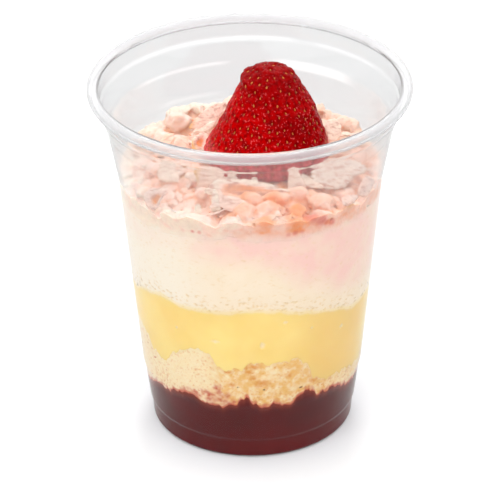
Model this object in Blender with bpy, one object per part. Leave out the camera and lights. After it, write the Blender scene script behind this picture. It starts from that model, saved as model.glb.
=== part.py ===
# Layered strawberry dessert in a clear plastic cup, built as one resting object.
# Berry jelly, sponge, custard, vanilla cream and strawberry cream lie in the cup
# one on the other. A heap of shavings covers them, and a cut strawberry, one wide
# flake and one long shaving lie on the heap. Units are metres, +Z is up, and the
# origin is the middle of the cup's flat base.

import math
import random

import bmesh
import bpy
from mathutils import Matrix, Vector

MM = 0.001
SEGMENTS = 48            # facets round the cup and every layer in it
CLEARANCE = 0.3 * MM     # gap that touching pieces keep

# Cup: a thin pressed sheet with stacking ledges and a rolled rim
CUP_HEIGHT = 114.0 * MM
RIM_RADIUS = 49.0 * MM
RIM_ROLL = 1.8 * MM      # outer radius of the rolled edge
WALL = 0.7 * MM
FLOOR = 0.9 * MM
BASE_RADIUS = 31.1 * MM
BASE_ROUND = 1.6 * MM
# each ledge: height and outer radius at its foot, then at its head
LEDGES = (
    (6.4, 31.5, 7.4, 32.0),
    (18.1, 33.4, 20.4, 34.0),
    (83.7, 40.2, 88.5, 41.1),
    (98.1, 42.9, 100.3, 43.3),
    (105.6, 45.1, 107.0, 45.8),
)

# Layers: height in mm at which each one ends on the wall, by azimuth in degrees.
# Azimuth -90 is the front.
JELLY_TOP = ((-165, 16), (-146, 18), (-124, 22), (-111, 18.6), (-95, 21.5), (-73, 19.2),
             (-58, 23), (-44, 20), (-25, 16.5), (40, 19), (110, 20))
SPONGE_TOP = ((-157, 30), (-137, 31.5), (-118, 39.5), (-100, 33.7), (-88, 36.2), (-69, 36.5),
              (-55, 27), (-35, 24.5), (20, 28), (80, 35), (140, 34))
CUSTARD_TOP = ((-155, 51.5), (-125, 54.5), (-90, 55.2), (-55, 51), (-35, 48), (10, 47.5),
               (90, 53))
VANILLA_TOP = ((-160, 71), (-118, 74), (-88, 73), (-62, 63.5), (-40, 57.5), (-5, 54.5),
               (90, 66))
PINK_TOP = ((-155, 79.5), (-90, 81.5), (-20, 80.0), (90, 83.0))
HEAP_RIM = ((-155, 82.5), (-90, 84.6), (-25, 83.2), (90, 86.0))
INNER_RINGS = (1.0, 0.55)                                    # hidden faces between layers
HEAP_RINGS = (1.0, 0.93, 0.83, 0.72, 0.6, 0.45, 0.3, 0.15)   # lumpy top of the heap

# Strawberry: cut flat at the stalk end and set tip up
BERRY_X = 5.6 * MM
BERRY_Y = 3.0 * MM
BERRY_BASE = 87.1 * MM
BERRY_HEIGHT = 30.2 * MM
BERRY_RADIUS = 18.9 * MM
BERRY_BULGE = 1.4 * MM   # how far its middle leans to +X
BERRY_FOOT = 0.09        # share of its height where the rounded foot ends
BERRY_CAP = 0.87         # and where the blunt tip starts
BERRY_SIDES = 24
BERRY_ROWS = 9
SEED_CELL = 1.5 * MM     # the narrowest face that still takes a seed

# Heap of shavings
HEAP_MIDDLE = 87.0 * MM
HEAP_LUMPS = 30
LUMP_HEIGHT = 2.2 * MM
LUMP_RADIUS = 5.0 * MM
SMALL_FLAKES = 58
SMALL_CRUMBS = 34
TRIES = 14               # draws for a small piece before its place is skipped
GOLDEN_ANGLE = math.pi * (3 - math.sqrt(5))


# ---------------------------------------------------------------- helpers

def clear_scene():
    for obj in list(bpy.data.objects):
        bpy.data.objects.remove(obj, do_unlink=True)


def make_material(name, colour, roughness, transmission=0.0):
    material = bpy.data.materials.new(name)
    material.use_nodes = True
    shader = material.node_tree.nodes["Principled BSDF"]
    shader.inputs["Base Color"].default_value = (*colour, 1.0)
    shader.inputs["Roughness"].default_value = roughness
    shader.inputs["Metallic"].default_value = 0.0
    shader.inputs["Transmission Weight"].default_value = transmission
    return material


def mesh_object(name, bm, material, sharp_angle=40):
    bmesh.ops.recalc_face_normals(bm, faces=bm.faces)
    mesh = bpy.data.meshes.new(name)
    bm.to_mesh(mesh)
    bm.free()
    mesh.shade_smooth()
    mesh.set_sharp_from_angle(angle=math.radians(sharp_angle))
    mesh.materials.append(material)
    obj = bpy.data.objects.new(name, mesh)
    bpy.context.scene.collection.objects.link(obj)
    return obj


def smooth_step(t):
    t = min(max(t, 0.0), 1.0)
    return t * t * (3 - 2 * t)


def edge_height(points, azimuth):
    """Height on the wall at an azimuth, eased from one named point to the next."""
    degrees = math.degrees(azimuth)
    for index, (start, low) in enumerate(points):
        end, high = points[(index + 1) % len(points)]
        span = (end - start) % 360
        offset = (degrees - start) % 360
        if offset <= span:
            return (low + (high - low) * smooth_step(offset / span)) * MM
    return points[0][1] * MM


def edge_mean(points):
    samples = [edge_height(points, 2 * math.pi * k / SEGMENTS) for k in range(SEGMENTS)]
    return sum(samples) / SEGMENTS


# ---------------------------------------------------------------- cup

def outer_radius(z):
    """Outer radius of the cup's wall at a height."""
    knots = [(BASE_ROUND, BASE_RADIUS)]
    for low_z, low_r, high_z, high_r in LEDGES:
        knots += [(low_z * MM, low_r * MM), (high_z * MM, high_r * MM)]
    knots.append((CUP_HEIGHT - RIM_ROLL, RIM_RADIUS - 2 * RIM_ROLL + WALL))
    if z <= knots[0][0]:
        drop = (BASE_ROUND - max(z, 0.0)) / BASE_ROUND
        return BASE_RADIUS - BASE_ROUND * (1 - math.sqrt(1 - drop * drop))
    for (z0, r0), (z1, r1) in zip(knots, knots[1:]):
        if z <= z1:
            return r0 + (r1 - r0) * (z - z0) / (z1 - z0)
    return knots[-1][1]


def inner_radius(z):
    return outer_radius(z) - WALL


def arc(centre_r, centre_z, radius, start, end, steps):
    """Points of an arc in the profile plane, angles in degrees from outward."""
    points = []
    for k in range(steps + 1):
        angle = math.radians(start + (end - start) * k / steps)
        points.append((centre_r + radius * math.cos(angle), centre_z + radius * math.sin(angle)))
    return points


def cup_profile():
    """Closed outline of the sheet: up the outside, round the roll, down the inside."""
    roll_r = RIM_RADIUS - RIM_ROLL
    roll_z = CUP_HEIGHT - RIM_ROLL
    base_r = BASE_RADIUS - BASE_ROUND
    outline = [(0.0, 0.0)]
    outline += arc(base_r, BASE_ROUND, BASE_ROUND, -90, 0, 3)
    wall = []
    for low_z, low_r, high_z, high_r in LEDGES:
        wall += [(low_r * MM, low_z * MM), (high_r * MM, high_z * MM)]
    outline += wall
    outline += arc(roll_r, roll_z, RIM_ROLL - WALL, 180, -90, 6)
    outline += arc(roll_r, roll_z, RIM_ROLL, -90, 180, 9)
    outline += [(r - WALL, z) for r, z in reversed(wall)]
    outline += arc(base_r, BASE_ROUND, BASE_ROUND - WALL, 0, -90, 3)
    outline.append((0.0, FLOOR))
    return outline


def build_cup(material):
    bm = bmesh.new()
    verts = [bm.verts.new((r, 0, z)) for r, z in cup_profile()]
    edges = [bm.edges.new(pair) for pair in zip(verts, verts[1:])]
    bmesh.ops.spin(bm, geom=verts + edges, cent=(0, 0, 0), axis=(0, 0, 1),
                   angle=2 * math.pi, steps=SEGMENTS, use_merge=False)
    bmesh.ops.remove_doubles(bm, verts=bm.verts, dist=0.01 * MM)
    return mesh_object("clear_cup", bm, material)


# ---------------------------------------------------------------- layers

def layer_surface(points):
    """Height of the face between two layers at (azimuth, share of the radius)."""
    middle = edge_mean(points)

    def height(azimuth, share):
        return middle + (edge_height(points, azimuth) - middle) * share ** 1.5
    return height


def floor_surface(azimuth, share):
    return FLOOR + CLEARANCE / 2


def ring_verts(bm, height, share):
    """One ring of vertices of a surface; its outermost ring follows the wall."""
    ring = []
    for k in range(SEGMENTS):
        azimuth = 2 * math.pi * k / SEGMENTS
        z = height(azimuth, share)
        r = (inner_radius(height(azimuth, 1.0)) - CLEARANCE) * share
        ring.append(bm.verts.new((r * math.cos(azimuth), r * math.sin(azimuth), z)))
    return ring


def join_rings(bm, ring_a, ring_b, inward):
    """Band of triangles; its diagonals match those of the layer that it meets."""
    for k in range(SEGMENTS):
        n = (k + 1) % SEGMENTS
        if inward:
            bm.faces.new((ring_a[k], ring_a[n], ring_b[k]))
            bm.faces.new((ring_a[n], ring_b[n], ring_b[k]))
        else:
            bm.faces.new((ring_a[k], ring_a[n], ring_b[n]))
            bm.faces.new((ring_a[k], ring_b[n], ring_b[k]))


def close_ring(bm, ring, z):
    centre = bm.verts.new((0, 0, z))
    for k in range(SEGMENTS):
        bm.faces.new((ring[k], ring[(k + 1) % SEGMENTS], centre))


def layer_mesh(lower, upper, lower_rings, upper_rings, side_rows):
    """Closed solid between two surfaces, its side lying along the cup's wall."""
    bm = bmesh.new()

    def bottom(azimuth, share):
        return lower(azimuth, share) + CLEARANCE / 2

    def top(azimuth, share):
        return upper(azimuth, share) - CLEARANCE / 2

    rings = [ring_verts(bm, bottom, share) for share in reversed(lower_rings)]
    close_ring(bm, rings[0], bottom(0, 0))
    for row in range(1, side_rows):
        mix = row / side_rows
        rings.append(ring_verts(bm, lambda a, s: bottom(a, 1) * (1 - mix) + top(a, 1) * mix, 1.0))
    outermost = len(rings)
    rings += [ring_verts(bm, top, share) for share in upper_rings]
    for index, (ring_a, ring_b) in enumerate(zip(rings, rings[1:])):
        join_rings(bm, ring_a, ring_b, index >= outermost)
    close_ring(bm, rings[-1], top(0, 0))
    return bm


def build_layers(materials):
    surfaces = [floor_surface] + [layer_surface(points) for points in
                                  (JELLY_TOP, SPONGE_TOP, CUSTARD_TOP, VANILLA_TOP, PINK_TOP)]
    names = ("berry_jelly", "sponge", "custard", "vanilla_cream", "strawberry_cream")
    for index, name in enumerate(names):
        side_rows = 8 if index == 0 else 3
        bottom_rings = (1.0,) if index == 0 else INNER_RINGS
        bm = layer_mesh(surfaces[index], surfaces[index + 1], bottom_rings, INNER_RINGS, side_rows)
        mesh_object(name, bm, materials[name])


# ---------------------------------------------------------------- strawberry

def berry_share(up):
    """Radius of the strawberry, as a share of its widest, at a share of its height."""
    share = 1 - 0.72 * max(up - BERRY_FOOT, 0.0) ** 1.2
    if up < BERRY_FOOT:
        share *= 0.86 + 0.14 * math.sqrt(1 - ((BERRY_FOOT - up) / BERRY_FOOT) ** 2)
    if up > BERRY_CAP:
        share *= math.sqrt(max(1 - ((up - BERRY_CAP) / (1.0 - BERRY_CAP)) ** 2, 0.0))
    return share


def berry_radius(z):
    up = min(max((z - BERRY_BASE) / BERRY_HEIGHT, 0.0), 1.0)
    return BERRY_RADIUS * berry_share(up)


def berry_centre_x(up):
    return BERRY_X + BERRY_BULGE * math.sin(math.pi * min(max(up, 0.0), 1.0))


def berry_ring(bm, up):
    ring = []
    for k in range(BERRY_SIDES):
        azimuth = 2 * math.pi * k / BERRY_SIDES
        uneven = 1 + 0.012 * math.cos(3 * azimuth + 1.0) + 0.01 * math.cos(5 * azimuth)
        r = BERRY_RADIUS * berry_share(up) * uneven
        ring.append(bm.verts.new((berry_centre_x(up) + r * math.cos(azimuth),
                                  BERRY_Y + r * math.sin(azimuth),
                                  BERRY_BASE + BERRY_HEIGHT * up)))
    return ring


def sink_seeds(bm, faces, width):
    """Turn each face into a dimple with a raised seed in its middle."""
    bmesh.ops.inset_individual(bm, faces=faces, thickness=0.26 * width, depth=-0.35 * MM)
    bmesh.ops.inset_individual(bm, faces=faces, thickness=0.08 * width, depth=0.3 * MM)


def build_strawberry(material):
    bm = bmesh.new()
    flank = BERRY_CAP - BERRY_FOOT
    levels = [0.0, BERRY_FOOT / 3]
    levels += [BERRY_FOOT + flank * k / BERRY_ROWS for k in range(BERRY_ROWS + 1)]
    levels += [BERRY_CAP + (1 - BERRY_CAP) * rise for rise in (0.5, 0.85)]
    rings = [berry_ring(bm, up) for up in levels]
    seeded = []
    for row, (ring_a, ring_b) in enumerate(zip(rings, rings[1:])):
        faces = []
        for k in range(BERRY_SIDES):
            n = (k + 1) % BERRY_SIDES
            face = bm.faces.new((ring_a[k], ring_a[n], ring_b[n], ring_b[k]))
            if row > 1 and (row + k) % 2 == 0:
                faces.append(face)
        width = 2 * math.pi * BERRY_RADIUS * berry_share(levels[row + 1]) / BERRY_SIDES
        if width > SEED_CELL:
            seeded.append((faces, width))
    base = bm.verts.new((BERRY_X, BERRY_Y, BERRY_BASE))
    tip = bm.verts.new((BERRY_X, BERRY_Y, BERRY_BASE + BERRY_HEIGHT))
    for k in range(BERRY_SIDES):
        n = (k + 1) % BERRY_SIDES
        bm.faces.new((rings[0][n], rings[0][k], base))
        bm.faces.new((rings[-1][k], rings[-1][n], tip))
    bmesh.ops.recalc_face_normals(bm, faces=bm.faces)
    for faces, width in seeded:
        sink_seeds(bm, faces, width)
    bmesh.ops.triangulate(bm, faces=bm.faces)
    mesh_object("strawberry", bm, material, 60)


# ---------------------------------------------------------------- flakes

def bent_plate(length, width, thickness, bend, columns=4, rows=1, point=0.5):
    """Closed thin plate, bent about its width by an angle and narrower at its ends."""
    bm = bmesh.new()

    def corner(i, j, side):
        along = i / columns - 0.5
        half = 0.5 * width * (1 - point * (2 * abs(along)) ** 2.5)
        across = (2 * j / rows - 1) * half
        if abs(bend) > 0.01:
            radius = length / bend
            depth = radius - side * thickness / 2
            angle = along * bend
            return Vector((depth * math.sin(angle), across, radius - depth * math.cos(angle)))
        return Vector((along * length, across, side * thickness / 2))

    sheets = [[[bm.verts.new(corner(i, j, side)) for j in range(rows + 1)]
               for i in range(columns + 1)] for side in (-1, 1)]
    for sheet in sheets:
        for i in range(columns):
            for j in range(rows):
                bm.faces.new((sheet[i][j], sheet[i + 1][j], sheet[i + 1][j + 1]))
                bm.faces.new((sheet[i][j], sheet[i + 1][j + 1], sheet[i][j + 1]))
    low, high = sheets
    rim = [(i, 0) for i in range(columns)] + [(columns, j) for j in range(rows)]
    rim += [(i, rows) for i in range(columns, 0, -1)] + [(0, j) for j in range(rows, 0, -1)]
    for (i, j), (m, n) in zip(rim, rim[1:] + rim[:1]):
        bm.faces.new((low[i][j], low[m][n], high[m][n], high[i][j]))
    bmesh.ops.recalc_face_normals(bm, faces=bm.faces)
    return bm


def lump_mesh(size, rng, detail=1):
    """Rounded uneven crumb."""
    bm = bmesh.new()
    bmesh.ops.create_icosphere(bm, subdivisions=detail, radius=0.5)
    stretch = Vector((size * rng.uniform(0.9, 1.2), size * rng.uniform(0.75, 1.0),
                      size * rng.uniform(0.6, 0.85)))
    for vert in bm.verts:
        vert.co = vert.co * rng.uniform(0.88, 1.12)
        vert.co = Vector((vert.co.x * stretch.x, vert.co.y * stretch.y, vert.co.z * stretch.z))
    return bm


def placement(x, y, z, turn, lean, roll=0.0):
    """Pose from millimetres and degrees: roll about its length, lean, then turn."""
    return (Matrix.Translation(Vector((x, y, z)) * MM)
            @ Matrix.Rotation(math.radians(turn), 4, "Z")
            @ Matrix.Rotation(math.radians(lean), 4, "X")
            @ Matrix.Rotation(math.radians(roll), 4, "Y"))


# the wide flake leans on the heap at the right; the long shaving stands before the berry
WIDE_FLAKE = dict(length=17.0, width=11.0, thickness=1.0, bend=0.35)
WIDE_FLAKE_POSE = placement(28.0, -11.3, 89.0, 23, 33)
LONG_SHAVING = dict(length=25.0, width=5.0, thickness=1.1, bend=0.55)
LONG_SHAVING_POSE = placement(-1.5, -21.6, 89.2, 2, 62)


def single_flake(name, sizes, pose, material):
    bm = bent_plate(sizes["length"] * MM, sizes["width"] * MM, sizes["thickness"] * MM,
                    sizes["bend"], columns=8, rows=2, point=0.55)
    bm.transform(pose)
    return mesh_object(name, bm, material)


# ---------------------------------------------------------------- heap

def in_footprint(x, y, sizes, pose, margin):
    """Whether a point lies over or under a flake, and the height of its plane there."""
    slope = pose.to_3x3() @ Vector((0, 0, 1))
    origin = pose.translation
    plane_z = origin.z - ((x - origin.x) * slope.x + (y - origin.y) * slope.y) / slope.z
    on_plane = pose.inverted() @ Vector((x, y, plane_z))
    inside = (abs(on_plane.x) < sizes["length"] * MM / 2 + margin
              and abs(on_plane.y) < sizes["width"] * MM / 2 + margin)
    return inside, plane_z


def heap_height(lumps):
    """Lumpy top of the heap's core, dished under the strawberry and the two flakes."""
    def height(azimuth, share):
        rim = edge_height(HEAP_RIM, azimuth)
        z = HEAP_MIDDLE + (rim - HEAP_MIDDLE) * share ** 3
        r = (inner_radius(rim) - CLEARANCE) * share
        x, y = r * math.cos(azimuth), r * math.sin(azimuth)
        fade = 1 - smooth_step((share - 0.8) / 0.2) * 0.6
        for lump_x, lump_y, lump_h in lumps:
            near = math.hypot(x - lump_x, y - lump_y) / LUMP_RADIUS
            if near < 1:
                z += lump_h * (1 - near * near) ** 2 * fade
        away = math.hypot(x - BERRY_X, y - BERRY_Y) - BERRY_RADIUS
        dish = BERRY_BASE - CLEARANCE
        z = min(z, dish + max(away - 1.5 * MM, 0.0) * 2)
        for sizes, pose in ((WIDE_FLAKE, WIDE_FLAKE_POSE), (LONG_SHAVING, LONG_SHAVING_POSE)):
            inside, plane_z = in_footprint(x, y, sizes, pose, 3.5 * MM)
            if inside:
                z = min(z, max(plane_z - 2.0 * MM, rim - 1.0 * MM))
        return z
    return height


def heap_core(material):
    rng = random.Random(11)
    lumps = []
    for k in range(HEAP_LUMPS):
        r = 37 * MM * math.sqrt((k + 0.5) / HEAP_LUMPS)
        a = k * GOLDEN_ANGLE
        lumps.append((r * math.cos(a), r * math.sin(a), LUMP_HEIGHT * rng.uniform(0.4, 1.0)))
    bm = layer_mesh(layer_surface(PINK_TOP), heap_height(lumps), INNER_RINGS, HEAP_RINGS, 2)
    return mesh_object("shavings_heap", bm, material)


def fits(bm):
    """Whether a piece keeps clear of the cup, strawberry, single flakes and cream."""
    points = [vert.co for vert in bm.verts] + [face.calc_center_median() for face in bm.faces]
    for point in points:
        x, y, z = point
        if math.hypot(x, y) > inner_radius(z) - 0.5 * MM:
            return False
        if z < edge_height(PINK_TOP, math.atan2(y, x)) + 1.0 * MM:
            return False
        up = (z - BERRY_BASE) / BERRY_HEIGHT
        reach = math.hypot(x - berry_centre_x(up), y - BERRY_Y)
        if reach < max(berry_radius(z), berry_radius(BERRY_BASE + 3 * MM)) + 0.7 * MM and up < 1:
            return False
        for sizes, pose in ((WIDE_FLAKE, WIDE_FLAKE_POSE), (LONG_SHAVING, LONG_SHAVING_POSE)):
            if in_footprint(x, y, sizes, pose, 1.2 * MM)[0]:
                return False
    return True


# pieces that show most: kind, then length, width and thickness, bend and pose in mm, degrees
SHOWING = (
    ("lump", (7.4, 7.0, 6.4), 0.0, (-22.4, 23.6, 88.2, 20, 0)),      # round peach chunk
    ("lump", (7.0, 5.0, 4.5), 0.0, (-29.5, 19.0, 86.0, -40, 0)),     # pale chunk at the wall
    ("plate", (7.5, 3.0, 1.1), 0.5, (-16.8, 26.0, 88.2, 35, 75)),    # flake with a tan edge
    ("plate", (9.0, 7.0, 1.0), 0.4, (-8.6, 29.5, 88.9, 8, 50)),      # pale slice at the back
    ("plate", (7.0, 5.0, 1.0), 1.8, (-17.6, 8.6, 88.6, 70, 20)),     # white curl by the berry
    ("plate", (9.0, 5.0, 1.0), 1.7, (27.0, 18.5, 88.4, -60, 15)),    # ivory curl at the right
    ("plate", (7.0, 4.0, 1.0), 1.2, (30.5, 12.0, 87.2, 80, 25)),     # second ivory curl
    ("plate", (7.5, 6.5, 1.0), 0.4, (-25.0, -9.0, 88.0, -15, 38)),   # white flake at the left
    ("plate", (11.0, 4.5, 1.0), 3.6, (-27.3, -22.6, 86.6, 40, 60)),  # ring-like curl
    ("plate", (7.0, 4.5, 1.0), 0.5, (14.6, -19.6, 89.6, -35, 85)),   # upright white flake
    ("plate", (12.0, 5.0, 1.0), 0.9, (-4.5, -30.2, 86.3, 10, 30)),   # pink curl at the front
    ("plate", (9.0, 4.0, 1.0), 1.0, (22.5, -27.0, 86.2, 40, 25)),    # curl at the right front
)


def piece_mesh(kind, sizes, bend, pose, rng):
    length, width, thickness = (size * MM for size in sizes)
    if kind == "lump":
        bm = lump_mesh(1.0, rng, 2)
        bm.transform(Matrix.Diagonal((length, width, thickness, 1.0)))
    else:
        bm = bent_plate(length, width, thickness, bend)
    bm.transform(placement(*pose))
    return bm


def scattered_pose(rng, k, count, radius, rise):
    """Pose of the k-th small piece on a spiral that fills the heap evenly."""
    r = radius * math.sqrt((k + 0.5) / count)
    a = k * GOLDEN_ANGLE
    rim = edge_height(HEAP_RIM, a) / MM
    z = HEAP_MIDDLE / MM + (rim - HEAP_MIDDLE / MM) * (r / 39.0) ** 3 + rise
    return (r * math.cos(a), r * math.sin(a), z, rng.uniform(0, 360), rng.uniform(-35, 35),
            rng.uniform(-20, 20))


def scattered_pieces():
    """Small flakes, curls and crumbs; one that fits nowhere near its place is skipped."""
    rng = random.Random(23)
    for k in range(SMALL_FLAKES):
        for _ in range(TRIES):
            sizes = (rng.uniform(5.5, 9.5) * MM, rng.uniform(3.2, 5.6) * MM,
                     rng.uniform(0.9, 1.2) * MM)
            bm = bent_plate(*sizes, rng.uniform(0.4, 2.2), columns=3)
            bm.transform(placement(*scattered_pose(rng, k, SMALL_FLAKES, 37.0, 0.9)))
            if fits(bm):
                yield bm
                break
            bm.free()
    for k in range(SMALL_CRUMBS):
        for _ in range(TRIES):
            bm = lump_mesh(rng.uniform(3.2, 5.4) * MM, rng)
            bm.transform(placement(*scattered_pose(rng, k, SMALL_CRUMBS, 38.0, 0.8)))
            if fits(bm):
                yield bm
                break
            bm.free()


def keep_largest_body(obj):
    """Drop loose scraps that the union leaves beside the heap."""
    bm = bmesh.new()
    bm.from_mesh(obj.data)
    bodies = []
    unseen = set(bm.verts)
    while unseen:
        stack = [unseen.pop()]
        body = set(stack)
        while stack:
            for edge in stack.pop().link_edges:
                for vert in edge.verts:
                    if vert in unseen:
                        unseen.discard(vert)
                        body.add(vert)
                        stack.append(vert)
        bodies.append(body)
    bodies.sort(key=len, reverse=True)
    for body in bodies[1:]:
        bmesh.ops.delete(bm, geom=list(body), context="VERTS")
    bm.to_mesh(obj.data)
    bm.free()


def build_heap(material):
    core = heap_core(material)
    rng = random.Random(5)
    pieces = bpy.data.collections.new("heap_pieces")
    bpy.context.scene.collection.children.link(pieces)
    meshes = [piece_mesh(kind, sizes, bend, pose, rng) for kind, sizes, bend, pose in SHOWING]
    meshes = [bm for bm in meshes if fits(bm)] + list(scattered_pieces())
    for index, bm in enumerate(meshes):
        obj = mesh_object("piece_%02d" % index, bm, material)
        bpy.context.scene.collection.objects.unlink(obj)
        pieces.objects.link(obj)
    union = core.modifiers.new("union", "BOOLEAN")
    union.operation = "UNION"
    union.operand_type = "COLLECTION"
    union.collection = pieces
    union.solver = "EXACT"
    bpy.context.view_layer.update()
    evaluated = core.evaluated_get(bpy.context.evaluated_depsgraph_get())
    joined = bpy.data.meshes.new_from_object(evaluated)
    core.modifiers.clear()
    core.data = joined
    for obj in list(pieces.objects):
        bpy.data.objects.remove(obj, do_unlink=True)
    bpy.data.collections.remove(pieces)
    keep_largest_body(core)


# ---------------------------------------------------------------- object

def main():
    clear_scene()
    materials = {
        "berry_jelly": make_material("berry_jelly", (0.13, 0.012, 0.02), 0.25),
        "sponge": make_material("sponge", (0.86, 0.66, 0.38), 0.85),
        "custard": make_material("custard", (0.93, 0.72, 0.27), 0.35),
        "vanilla_cream": make_material("vanilla_cream", (0.93, 0.86, 0.70), 0.5),
        "strawberry_cream": make_material("strawberry_cream", (0.93, 0.62, 0.55), 0.5),
    }
    build_cup(make_material("clear_plastic", (0.95, 0.95, 0.95), 0.08, 0.95))
    build_layers(materials)
    build_heap(make_material("shavings", (0.93, 0.66, 0.52), 0.6))
    build_strawberry(make_material("strawberry", (0.50, 0.004, 0.012), 0.3))
    pale = make_material("pale_flake", (0.88, 0.76, 0.62), 0.5)
    single_flake("wide_flake", WIDE_FLAKE, WIDE_FLAKE_POSE, pale)
    single_flake("long_shaving", LONG_SHAVING, LONG_SHAVING_POSE, pale)


main()
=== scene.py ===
# Looks of a layered strawberry dessert in a clear cup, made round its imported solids.
# Lengths in the dictionaries are millimetres and angles are degrees; azimuth -90 is the front.

import math
import random

import bpy
import numpy
from mathutils import Matrix, Vector, kdtree, noise


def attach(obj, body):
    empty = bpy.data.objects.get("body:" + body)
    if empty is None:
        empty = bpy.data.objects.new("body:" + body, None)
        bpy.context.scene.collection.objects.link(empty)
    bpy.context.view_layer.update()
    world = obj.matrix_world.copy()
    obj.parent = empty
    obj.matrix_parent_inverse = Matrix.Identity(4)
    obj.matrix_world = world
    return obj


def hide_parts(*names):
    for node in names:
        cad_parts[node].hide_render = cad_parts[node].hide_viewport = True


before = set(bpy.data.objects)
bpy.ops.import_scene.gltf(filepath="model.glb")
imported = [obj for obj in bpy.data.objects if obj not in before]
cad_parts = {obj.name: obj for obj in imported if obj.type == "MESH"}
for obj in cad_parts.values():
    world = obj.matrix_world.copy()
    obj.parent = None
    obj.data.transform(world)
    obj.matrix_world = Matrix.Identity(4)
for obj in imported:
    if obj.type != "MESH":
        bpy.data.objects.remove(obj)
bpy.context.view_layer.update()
mm = 0.001
goldenAngle = math.pi * (3 - math.sqrt(5))


# Small helpers for shapes

def mix(a, b, share):
    return a + (b - a) * share


def smoothStep(share):
    share = min(max(share, 0.0), 1.0)
    return share * share * (3 - 2 * share)


def signedAngle(degrees):
    # the same angle from -180 to 180
    return (degrees + 180) % 360 - 180


def azimuthOf(x, y):
    return math.degrees(math.atan2(y, x))


def circle(r, z, around):
    angles = [math.tau * k / around for k in range(around)]
    return [(r * math.cos(angle), r * math.sin(angle), z) for angle in angles]


def bumps(point, size, octaves=3):
    # smooth unevenness from about -1 to 1, its largest waves as wide as size
    return noise.fractal(Vector(point) / size, 1.0, 2.0, octaves)


def randomShift(rng):
    # a place of its own in the noise, so that no two lumps are alike
    return Vector([rng.uniform(0, 90) for _ in range(3)])


def edgeHeight(points, degrees):
    # height on the wall at an azimuth, eased from one named point to the next
    for index, (start, low) in enumerate(points):
        end, high = points[(index + 1) % len(points)]
        span, offset = (end - start) % 360, (degrees - start) % 360
        if offset <= span:
            return mix(low, high, smoothStep(offset / span))
    return points[0][1]


def makePiece(name, points, faces, material, channels=None):
    mesh = bpy.data.meshes.new(name)
    mesh.from_pydata([Vector(point) * mm for point in points], [], faces)
    mesh.update()
    for channel, values in (channels or {}).items():
        mesh.attributes.new(channel, "FLOAT", "POINT").data.foreach_set("value", values)
    mesh.shade_smooth()
    mesh.materials.append(material)
    piece = bpy.data.objects.new(name, mesh)
    bpy.context.scene.collection.objects.link(piece)
    return piece


def settle(piece, slot, *nodes):
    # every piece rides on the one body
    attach(piece, "root")
    if nodes:
        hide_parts(*nodes)
    print("made", piece.name, len(piece.data.polygons), "faces")


def joinRings(rings):
    # closed skin through rings of equal length, with a fan at each end
    count = len(rings[0])
    points = [point for ring in rings for point in ring]
    faces = []
    for row in range(len(rings) - 1):
        for k in range(count):
            n = (k + 1) % count
            faces.append((row * count + k, row * count + n, (row + 1) * count + n, (row + 1) * count + k))
    last = (len(rings) - 1) * count
    for ring, first, turned in ((rings[0], 0, True), (rings[-1], last, False)):
        centre = sum((Vector(point) for point in ring), Vector()) / count
        points.append(centre)
        for k in range(count):
            pair = (first + k, first + (k + 1) % count)
            faces.append((*(reversed(pair) if turned else pair), len(points) - 1))
    return points, faces


# Small helpers for materials

def shade(red, green, blue):
    # colour as a painter reads it, 0 to 255, turned into light
    return (*(pow(level / 255, 2.2) for level in (red, green, blue)), 1.0)


def newMaterial(name, settings):
    material = bpy.data.materials.new(name)
    material.use_nodes = True
    tree = material.node_tree
    shader = tree.nodes["Principled BSDF"]
    for socket, value in settings.items():
        shader.inputs[socket].default_value = value
    return material, tree, shader


def addNode(tree, kind, inputs=None, **settings):
    made = tree.nodes.new("ShaderNode" + kind)
    for key, value in settings.items():
        setattr(made, key, value)
    for key, value in (inputs or {}).items():
        if isinstance(value, bpy.types.NodeSocket):
            tree.links.new(value, made.inputs[key])
        else:
            made.inputs[key].default_value = value
    return made


def place(tree):
    return addNode(tree, "TexCoord").outputs["Object"]


def placeAxes(tree):
    return addNode(tree, "SeparateXYZ", {0: place(tree)}).outputs


def channel(tree, name):
    return addNode(tree, "Attribute", attribute_name=name).outputs["Fac"]


def cloud(tree, size, detail=3.0, stretch=None):
    # noise whose patches are about size millimetres wide
    where = place(tree)
    if stretch:
        where = addNode(tree, "Mapping", {"Vector": where, "Scale": stretch}).outputs[0]
    patches = addNode(tree, "TexNoise", {"Vector": where, "Scale": 1 / (size * mm), "Detail": detail})
    return patches.outputs["Fac"]


def steps(tree, factor, stops):
    ramp = addNode(tree, "ValToRGB", {"Fac": factor})
    elements = ramp.color_ramp.elements
    while len(elements) < len(stops):
        elements.new(0.5)
    for element, (position, colour) in zip(elements, stops):
        element.position = position
        element.color = colour
    return ramp.outputs["Color"]


def between(tree, factor, low, high):
    # factor stretched so that low gives 0 and high gives 1
    ranged = addNode(tree, "MapRange", {"Value": factor, "From Min": low, "From Max": high})
    return ranged.outputs["Result"]


def maths(tree, operation, a, b):
    return addNode(tree, "Math", {0: a, 1: b}, operation=operation).outputs[0]


def blendColours(tree, factor, a, b):
    made = addNode(tree, "Mix", {0: factor, 6: a, 7: b}, data_type="RGBA")
    return made.outputs[2]


def addCoats(tree, colour, coats):
    # coats over a colour: where each lies (a painted channel or a node's value), how strong, and its colour
    for where, strength, coat in coats:
        if isinstance(where, str):
            where = channel(tree, where)
        colour = blendColours(tree, maths(tree, "MULTIPLY", where, strength), colour, coat)
    return colour


def addRelief(tree, shader, height, depth, strength=1.0):
    relief = addNode(tree, "Bump", {"Height": height, "Distance": depth * mm, "Strength": strength})
    tree.links.new(relief.outputs["Normal"], shader.inputs["Normal"])


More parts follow.
